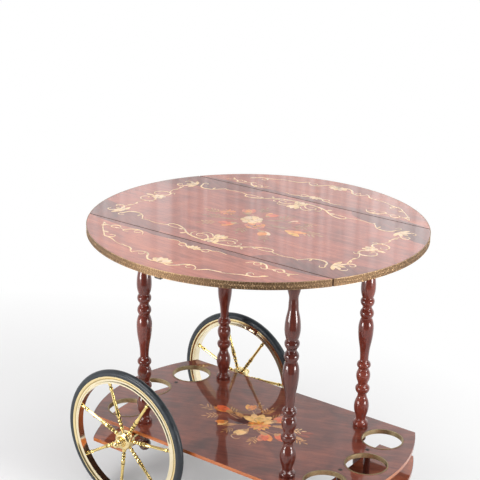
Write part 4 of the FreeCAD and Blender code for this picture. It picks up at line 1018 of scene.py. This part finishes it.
# Pressed pattern. Lozenges: how far they stand out as shares of the relief, half their length as a share of a
# repeat, half their height as a share of the band's, and their flat tips' width as a share of their own.
# Studs: how far they stand out, where along a repeat they stand, how much taller than wide they are, and each
# row's share of the band's height with its radius in millimetres. A band's ends keep part of a repeat plain.
LOZENGE_PRESS = (0.2, 1.0)
LOZENGE_LENGTH = 0.44
LOZENGE_HEIGHT = 0.17
LOZENGE_TIP = 0.3
STUD_PRESS = (0.1, 1.0)
STUD_PLACE = (0.35, 0.65)
STUD_TALL = 1.25
STUD_ROWS = ((0.13, 1.7), (0.36, 1.3), (0.64, 1.3), (0.87, 1.7))
BAND_END_SPACE = 0.6
REPEAT_TURN = BAND_PITCH / TOP_RADIUS


def outward(turn, radius, z):
    """A frame on the band: X outwards from the top's middle, Z up."""
    return Matrix.Rotation(turn, 4, "Z") @ Matrix.Translation((radius, 0, z))


def closed_outline(bm, points):
    """A closed loop of edges through points."""
    corners = [bm.verts.new(point) for point in points]
    return corners + [bm.edges.new((corners[index - 1], corners[index])) for index in range(len(corners))]


def band_strip(bm, start, sweep, low, high):
    """The band's own section, with a rail along both edges, carried round part of the top."""
    outer = TOP_RADIUS
    ground = outer - BAND_SINK
    back = outer - BAND_THICKNESS
    section = [(back, low), (outer, low), (outer, low + BAND_RAIL), (ground, low + BAND_RAIL),
               (ground, high - BAND_RAIL), (outer, high - BAND_RAIL), (outer, high), (back, high)]
    points = [(radius * math.cos(start), radius * math.sin(start), z) for radius, z in section]
    outline = closed_outline(bm, points)
    steps = max(2, round(STEPS_PER_TURN * sweep / math.tau))
    bmesh.ops.spin(bm, geom=outline, cent=(0, 0, 0), axis=(0, 0, 1), angle=sweep, steps=steps)
    bmesh.ops.holes_fill(bm, edges=bm.edges[:], sides=0)
    bmesh.ops.recalc_face_normals(bm, faces=bm.faces[:])


def band_ornament(bm, turn, low, high, press):
    """One repeat of the pressed pattern: a small lozenge between rows of studs, all pressed unevenly deep."""
    height = high - low
    ground = TOP_RADIUS - BAND_SINK
    rise = BAND_SINK * press.uniform(*LOZENGE_PRESS)
    lean = Matrix.Rotation(math.radians(90), 4, "Y")
    flat = Matrix.Diagonal((1.0, BAND_PITCH * LOZENGE_LENGTH, height * LOZENGE_HEIGHT, 1.0))
    lozenge = outward(turn, ground + rise / 2, low + height / 2) @ flat @ lean
    bmesh.ops.create_cone(bm, cap_ends=True, segments=4, radius1=1.0, radius2=LOZENGE_TIP, depth=rise,
                          matrix=lozenge)
    for share, radius in STUD_ROWS:
        rise = BAND_SINK * press.uniform(*STUD_PRESS) / (radius * MM)
        place = outward(turn + press.uniform(*STUD_PLACE) * REPEAT_TURN, ground, low + height * share)
        stud = place @ Matrix.Diagonal((rise, 1.0, STUD_TALL, 1.0))
        bmesh.ops.create_icosphere(bm, subdivisions=1, radius=radius * MM, matrix=stud)


def embossed_band(node, start, end):
    """A length of brass band between two angles round the top."""
    low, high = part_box(node)
    bm = bmesh.new()
    band_strip(bm, start, end - start, low.z, high.z)
    repeats = int((end - start) / REPEAT_TURN - BAND_END_SPACE)
    # The pattern ends half a repeat after its last lozenge, where that lozenge's studs stand.
    margin = ((end - start) - (repeats - 0.5) * REPEAT_TURN) / 2
    press = random.Random(node)
    for index in range(repeats):
        band_ornament(bm, start + margin + index * REPEAT_TURN, low.z, high.z, press)
    piece = add_piece("embossed_" + node, bm, [BAND_BRASS], body_of_node(node))
    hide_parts(node)


def make_bands():
    panel_turn = math.asin(PANEL_EDGE / TOP_RADIUS)
    leaf_turn = math.asin(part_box("leaf_band_back")[0].y / TOP_RADIUS)
    embossed_band("centre_band_right", -panel_turn, panel_turn)
    embossed_band("centre_band_left", math.pi - panel_turn, math.pi + panel_turn)
    embossed_band("leaf_band_back", leaf_turn, math.pi - leaf_turn)
    embossed_band("leaf_band_front", math.pi + leaf_turn, math.tau - leaf_turn)


# Wheel hubs: how many degrees each wheel's spokes are turned and, in millimetres, the section from the inner
# face to the outer one and the lobes at the spokes.

SPOKES = 7
SPOKE_ANGLE = {"front": 6.5, "back": 5.5}
HUB_PROFILE = [(5.1, -18), (13, -18), (13, -11), (16, -9), (21, -7), (22.5, -4), (22.5, 4), (22, 8),
               (20.5, 11), (18, 13), (15, 14), (13.2, 14), (12.4, 12.5), (11.6, 14.5), (11, 17), (9, 18),
               (5.1, 18)]
LOBE_RADIUS = 6.4
LOBE_RING = 18.2
LOBE_STEPS = (20, 12)
HUB_STEPS = 56
HUB_SHARP_ANGLE = 40
HUB_WELD = 0.001


def make_hub(side, y_sign):
    """Cast hub: a domed face with a groove round the nut, and a rounded lobe at the foot of each spoke."""
    node = f"hub_{side}"
    low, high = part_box(node)
    bm = bmesh.new()
    outline = closed_outline(bm, [(radius, 0, along) for radius, along in HUB_PROFILE])
    bmesh.ops.spin(bm, geom=outline, cent=(0, 0, 0), axis=(0, 0, 1), angle=math.tau, steps=HUB_STEPS,
                   use_merge=True)
    bmesh.ops.remove_doubles(bm, verts=bm.verts, dist=HUB_WELD)
    round_steps, tall_steps = LOBE_STEPS
    for index in range(SPOKES):
        turn = math.tau * index / SPOKES
        lobe = Matrix.Rotation(turn, 4, "Z") @ Matrix.Translation((LOBE_RING, 0, 0))
        bmesh.ops.create_uvsphere(bm, u_segments=round_steps, v_segments=tall_steps, radius=LOBE_RADIUS,
                                  matrix=lobe)
    bmesh.ops.recalc_face_normals(bm, faces=bm.faces[:])
    face_out = Matrix.Rotation(math.radians(-90 * y_sign), 4, "X")
    spoke_turn = Matrix.Rotation(math.radians(-SPOKE_ANGLE[side]), 4, "Y")
    centre = Matrix.Translation((AXLE_X, (low.y + high.y) / 2, AXLE_Z))
    bmesh.ops.transform(bm, matrix=centre @ spoke_turn @ face_out @ Matrix.Scale(MM, 4), verts=bm.verts[:])
    piece = add_piece("cast_" + node, bm, [BRASS], f"wheel_{side}", HUB_SHARP_ANGLE)
    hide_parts(node)


# Finishes of the nodes that are shown as they are, by the start of their names.

NODE_FINISH = {
    "centre_panel": FIELD_VENEER,
    "leaf_panel": LEAF_VENEER,
    "shelf_board": SHELF_VENEER,
    "bottle_rest": REST_VENEER,
    "shelf_edging": EDGING,
    "rest_edging": EDGING,
    "column_front_left": MAHOGANY,
    "column_back_left": MAHOGANY,
    # Painted shade on the front right column, painted light on the back right one.
    "column_front_right": PAINTED_SHADE_MAHOGANY,
    "column_back_right": PAINTED_LIGHT_MAHOGANY,
    # Painted shade on the parts under the shelf.
    "finial": UNDER_SHELF_SHADE_MAHOGANY,
    "leg": UNDER_SHELF_SHADE_MAHOGANY,
    "rest_posts": UNDER_SHELF_SHADE_MAHOGANY,
    "rest_screws": BLACKED_STEEL,
    "bottle_ring": RING_BRASS,
    "axle_rod": STEEL,
    "axle_spacers": BRASS,
    "axle_washers": BRASS,
    "axle_cap_nuts": BRASS,
    "rim": RIM_BRASS,
    "spokes": SPOKE_BRASS,
    "tyre": TYRE,
    "hinge_plates": HINGE_BRASS,
    "hinge_pins": STEEL,
    "panel_screws": HINGE_BRASS,
    "leaf_screws": HINGE_BRASS,
    "stay_pins": STEEL,
    "stay_base": BRACKET_ENAMEL,
    "stay_arm": STAY_WOOD,
    "caster_socket": BRASS,
    "caster_fork": BRASS,
    "caster_pin": STEEL,
    "caster_wheel": CASTER_TREAD,
}


def finish_nodes():
    for node in nodes:
        for start, material in NODE_FINISH.items():
            if node.startswith(start):
                paint(node, material)


# Floor: its size, where it ends towards the camera, the ground that takes the shadow, and the painted light
# that lifts that shadow.

FLOOR_RADIUS = 40.0
FLOOR_STEPS = 64
FLOOR_FRONT = 1.35
FLOOR_FRONT_FADE = (FLOOR_FRONT - 0.3, FLOOR_FRONT - 0.1)
FLOOR_CENTRE = (-0.32, -0.67, 0.0)
FLOOR_NEAR = 0.55
FLOOR_FAR = 1.65
FLOOR_PAINTED_LIGHT = 0.1
PAPER_FIBRE = (300.0, 300.0, 300.0)
PAPER_TONES = ((0.74, 0.735, 0.74), (0.76, 0.755, 0.76))


def floor_paper():
    """White paper that takes the shadow, lifted by faint painted light, and glows white farther out."""
    finish = Finish("floor_paper", {"Specular IOR Level": 0.0, "Roughness": 0.9, "Emission Strength": 1.0})
    fibre = finish.noise(PAPER_FIBRE, detail=2.0)
    distance = finish.reach(FLOOR_CENTRE, (1.0, 1.0, 0.0))
    ahead = finish.along(finish.place(), TOWARD_CAMERA)
    # Painted light: near the object the paper still glows a little, which lifts the shadow.
    far_glow = finish.spread(distance, FLOOR_NEAR, FLOOR_FAR, FLOOR_PAINTED_LIGHT, 1.0)
    glow = far_glow.larger(finish.spread(ahead, *FLOOR_FRONT_FADE, 0.0, 1.0))
    paper = finish.ramp(fibre, (NOISE_LOW, NOISE_HIGH), PAPER_TONES)
    finish.feed("Base Color", finish.mix(glow, paper, BLACK))
    finish.feed("Emission Color", finish.mix(glow, BLACK, WHITE))
    return finish.material


def make_floor():
    """A pale floor that runs far back and ends in front of the object, before the dark part of the room."""
    bm = bmesh.new()
    set_back = Matrix.Translation(TOWARD_CAMERA * (FLOOR_FRONT - FLOOR_RADIUS))
    bmesh.ops.create_circle(bm, cap_ends=True, segments=FLOOR_STEPS, radius=FLOOR_RADIUS, matrix=set_back)
    mesh = bpy.data.meshes.new("floor")
    bm.to_mesh(mesh)
    bm.free()
    mesh.materials.append(floor_paper())
    floor = bpy.data.objects.new("floor", mesh)
    bpy.context.scene.collection.objects.link(floor)


# Room: its light, and what polished pieces mirror. Ranges are of the part of a direction that runs behind the
# object, to the camera's right or upward.

ROOM_LEVEL = 0.62
GLOSS_FRONT = 0.1
GLOSS_BACK = 1.1
SWEEP_EDGE = (-0.35, 0.45)
FOLD_NOISE = (0.35, 0.65)
BROAD_FOLDS = 7.0
BROAD_FOLD_LEVELS = (0.8, 1.2)
CREASES = 150.0
CREASE_LEVELS = (0.75, 1.25)
CREASE_FADE = (0.30, 0.37)
CREASES_HIGH_UP = 0.3
SIDE_FADE = (-0.2, 0.25)
SIDE_LEVELS = (0.95, 1.35)
CEILING_FADE = (0.34, 0.5)
CEILING_LEVEL = 0.7
WINDOW_TURN = 54.0
WINDOW_HALF = 10.0
WINDOW_BLUR = 2.0
WINDOW_SILL = (-0.35, -0.25)
WINDOW_HEAD = (-0.02, 0.08)
WINDOW_GLOW = 3.5


def level_part(room, direction):
    """A direction turned level, at full length."""
    return room.vector("NORMALIZE", room.vector("MULTIPLY", direction, (1.0, 1.0, 0.0)))


def sweep_folds(room, level, count, low, high):
    """Upright folds of the white sweep: a brightness that changes only with the way one looks round."""
    way = room.vector("MULTIPLY", level, (count, count, 0.0))
    folds = room.node("ShaderNodeTexNoise", None, {"Vector": way, "Scale": 1.0, "Detail": 1.0})
    return room.spread(folds, *FOLD_NOISE, low, high)


def window_glow(room, level, rise, turn):
    """A bright window so many degrees round from the camera, kept low so that no level board mirrors it."""
    centre = Matrix.Rotation(math.radians(turn), 3, "Z") @ TOWARD_CAMERA
    outer = math.cos(math.radians(WINDOW_HALF + WINDOW_BLUR))
    inner = math.cos(math.radians(WINDOW_HALF - WINDOW_BLUR))
    pane = room.spread(room.along(level, centre), outer, inner, 0.0, WINDOW_GLOW)
    return pane * room.spread(rise, *WINDOW_SILL, 0.0, 1.0) * room.spread(rise, *WINDOW_HEAD, 1.0, 0.0)


def mirrored_room(room):
    """What polished pieces mirror: a folded white sweep behind, a dimmer room in front, and two windows."""
    direction = room.node("ShaderNodeTexCoord", output="Generated")
    level = level_part(room, direction)
    behind = room.along(direction, -TOWARD_CAMERA)
    aside = room.along(direction, CAMERA_RIGHT)
    rise = room.along(direction, UPWARD)
    gloss = room.spread(behind, *SWEEP_EDGE, GLOSS_FRONT, GLOSS_BACK)
    gloss = gloss * sweep_folds(room, level, BROAD_FOLDS, *BROAD_FOLD_LEVELS)
    creases = sweep_folds(room, level, CREASES, *CREASE_LEVELS)
    gloss = gloss * (1 + room.spread(rise, *CREASE_FADE, 1.0, CREASES_HIGH_UP) * (creases - 1))
    gloss = gloss * room.spread(aside, *SIDE_FADE, *SIDE_LEVELS)
    gloss = gloss * room.spread(rise, *CEILING_FADE, 1.0, CEILING_LEVEL)
    for turn in (-WINDOW_TURN, WINDOW_TURN):
        gloss = gloss + window_glow(room, level, rise, turn)
    return gloss


def make_room():
    """White for the camera, even light on the object, and a room for polished pieces to mirror."""
    world = bpy.data.worlds.new("studio")
    bpy.context.scene.world = world
    world.use_nodes = True
    room = Wiring(world.node_tree)
    background = world.node_tree.nodes["Background"]
    path = world.node_tree.nodes.new("ShaderNodeLightPath")
    camera_ray = Value(room, path.outputs["Is Camera Ray"])
    glossy_ray = Value(room, path.outputs["Is Glossy Ray"])
    mirror_ray = glossy_ray.larger(Value(room, path.outputs["Is Transmission Ray"]))
    seen = mirror_ray * mirrored_room(room) + (1 - mirror_ray) * ROOM_LEVEL
    strength = camera_ray + (1 - camera_ray) * seen
    world.node_tree.links.new(strength.socket, background.inputs["Strength"])
    background.inputs["Color"].default_value = WHITE


# Lamps: name, metres towards the camera and to its right, how high it stands, width and height of its face,
# power, and whether it is there for glints.
LAMPS = (("left_softbox", 1.2, -2.1, 1.3, 0.8, 1.5, 54, False),
         ("right_softbox", 1.4, 2.0, 1.3, 0.8, 1.5, 42, False),
         ("overhead_softbox", 0.0, 0.0, 3.0, 3.0, 3.0, 9, False),
         ("left_high_glint", 0.8, -1.2, 2.5, 1.2, 1.7, 60, True),
         ("right_high_glint", 0.8, 1.2, 2.5, 1.2, 1.7, 60, True),
         ("left_low_glint", 1.2, -2.1, 0.42, 0.8, 0.5, 24, True),
         ("right_low_glint", 1.4, 2.0, 0.42, 0.8, 0.5, 24, True))
LAMP_AIM = Vector((0, 0, 0.45))


def softbox(name, place, width, height, power, glints):
    """A lamp that only makes glints on polished pieces, or one that only lights the surfaces."""
    light = bpy.data.lights.new(name, "AREA")
    light.shape = "RECTANGLE"
    light.size = width
    light.size_y = height
    light.energy = power
    lamp = bpy.data.objects.new(name, light)
    lamp.location = place
    lamp.rotation_euler = (LAMP_AIM - place).to_track_quat("-Z", "Y").to_euler()
    lamp.visible_glossy = glints
    lamp.visible_diffuse = not glints
    bpy.context.scene.collection.objects.link(lamp)


def make_lights():
    """Softboxes for the surfaces, and lamps for glints where no level board mirrors them to the camera."""
    right = Vector((CAMERA_RIGHT.x, CAMERA_RIGHT.y, 0)).normalized()
    for name, ahead, aside, height, width, tall, power, glints in LAMPS:
        place = TOWARD_CAMERA * ahead + right * aside + Vector((0, 0, height))
        softbox(name, place, width, tall, power, glints)


def make_camera():
    camera = bpy.data.cameras.new("camera")
    camera.lens = LENS_MM
    camera.sensor_width = SENSOR_MM
    holder = bpy.data.objects.new("camera", camera)
    axes = Matrix((CAMERA_RIGHT, CAMERA_UP, CAMERA_BACK)).transposed().to_4x4()
    holder.matrix_world = Matrix.Translation(CAMERA_PLACE) @ axes
    bpy.context.scene.collection.objects.link(holder)
    bpy.context.scene.camera = holder


finish_nodes()
make_inlays()
make_bands()
for wheel_side, wheel_sign in SIDES:
    make_hub(wheel_side, wheel_sign)
make_floor()
make_room()
make_lights()
make_camera()
bpy.context.scene.view_settings.view_transform = "Standard"
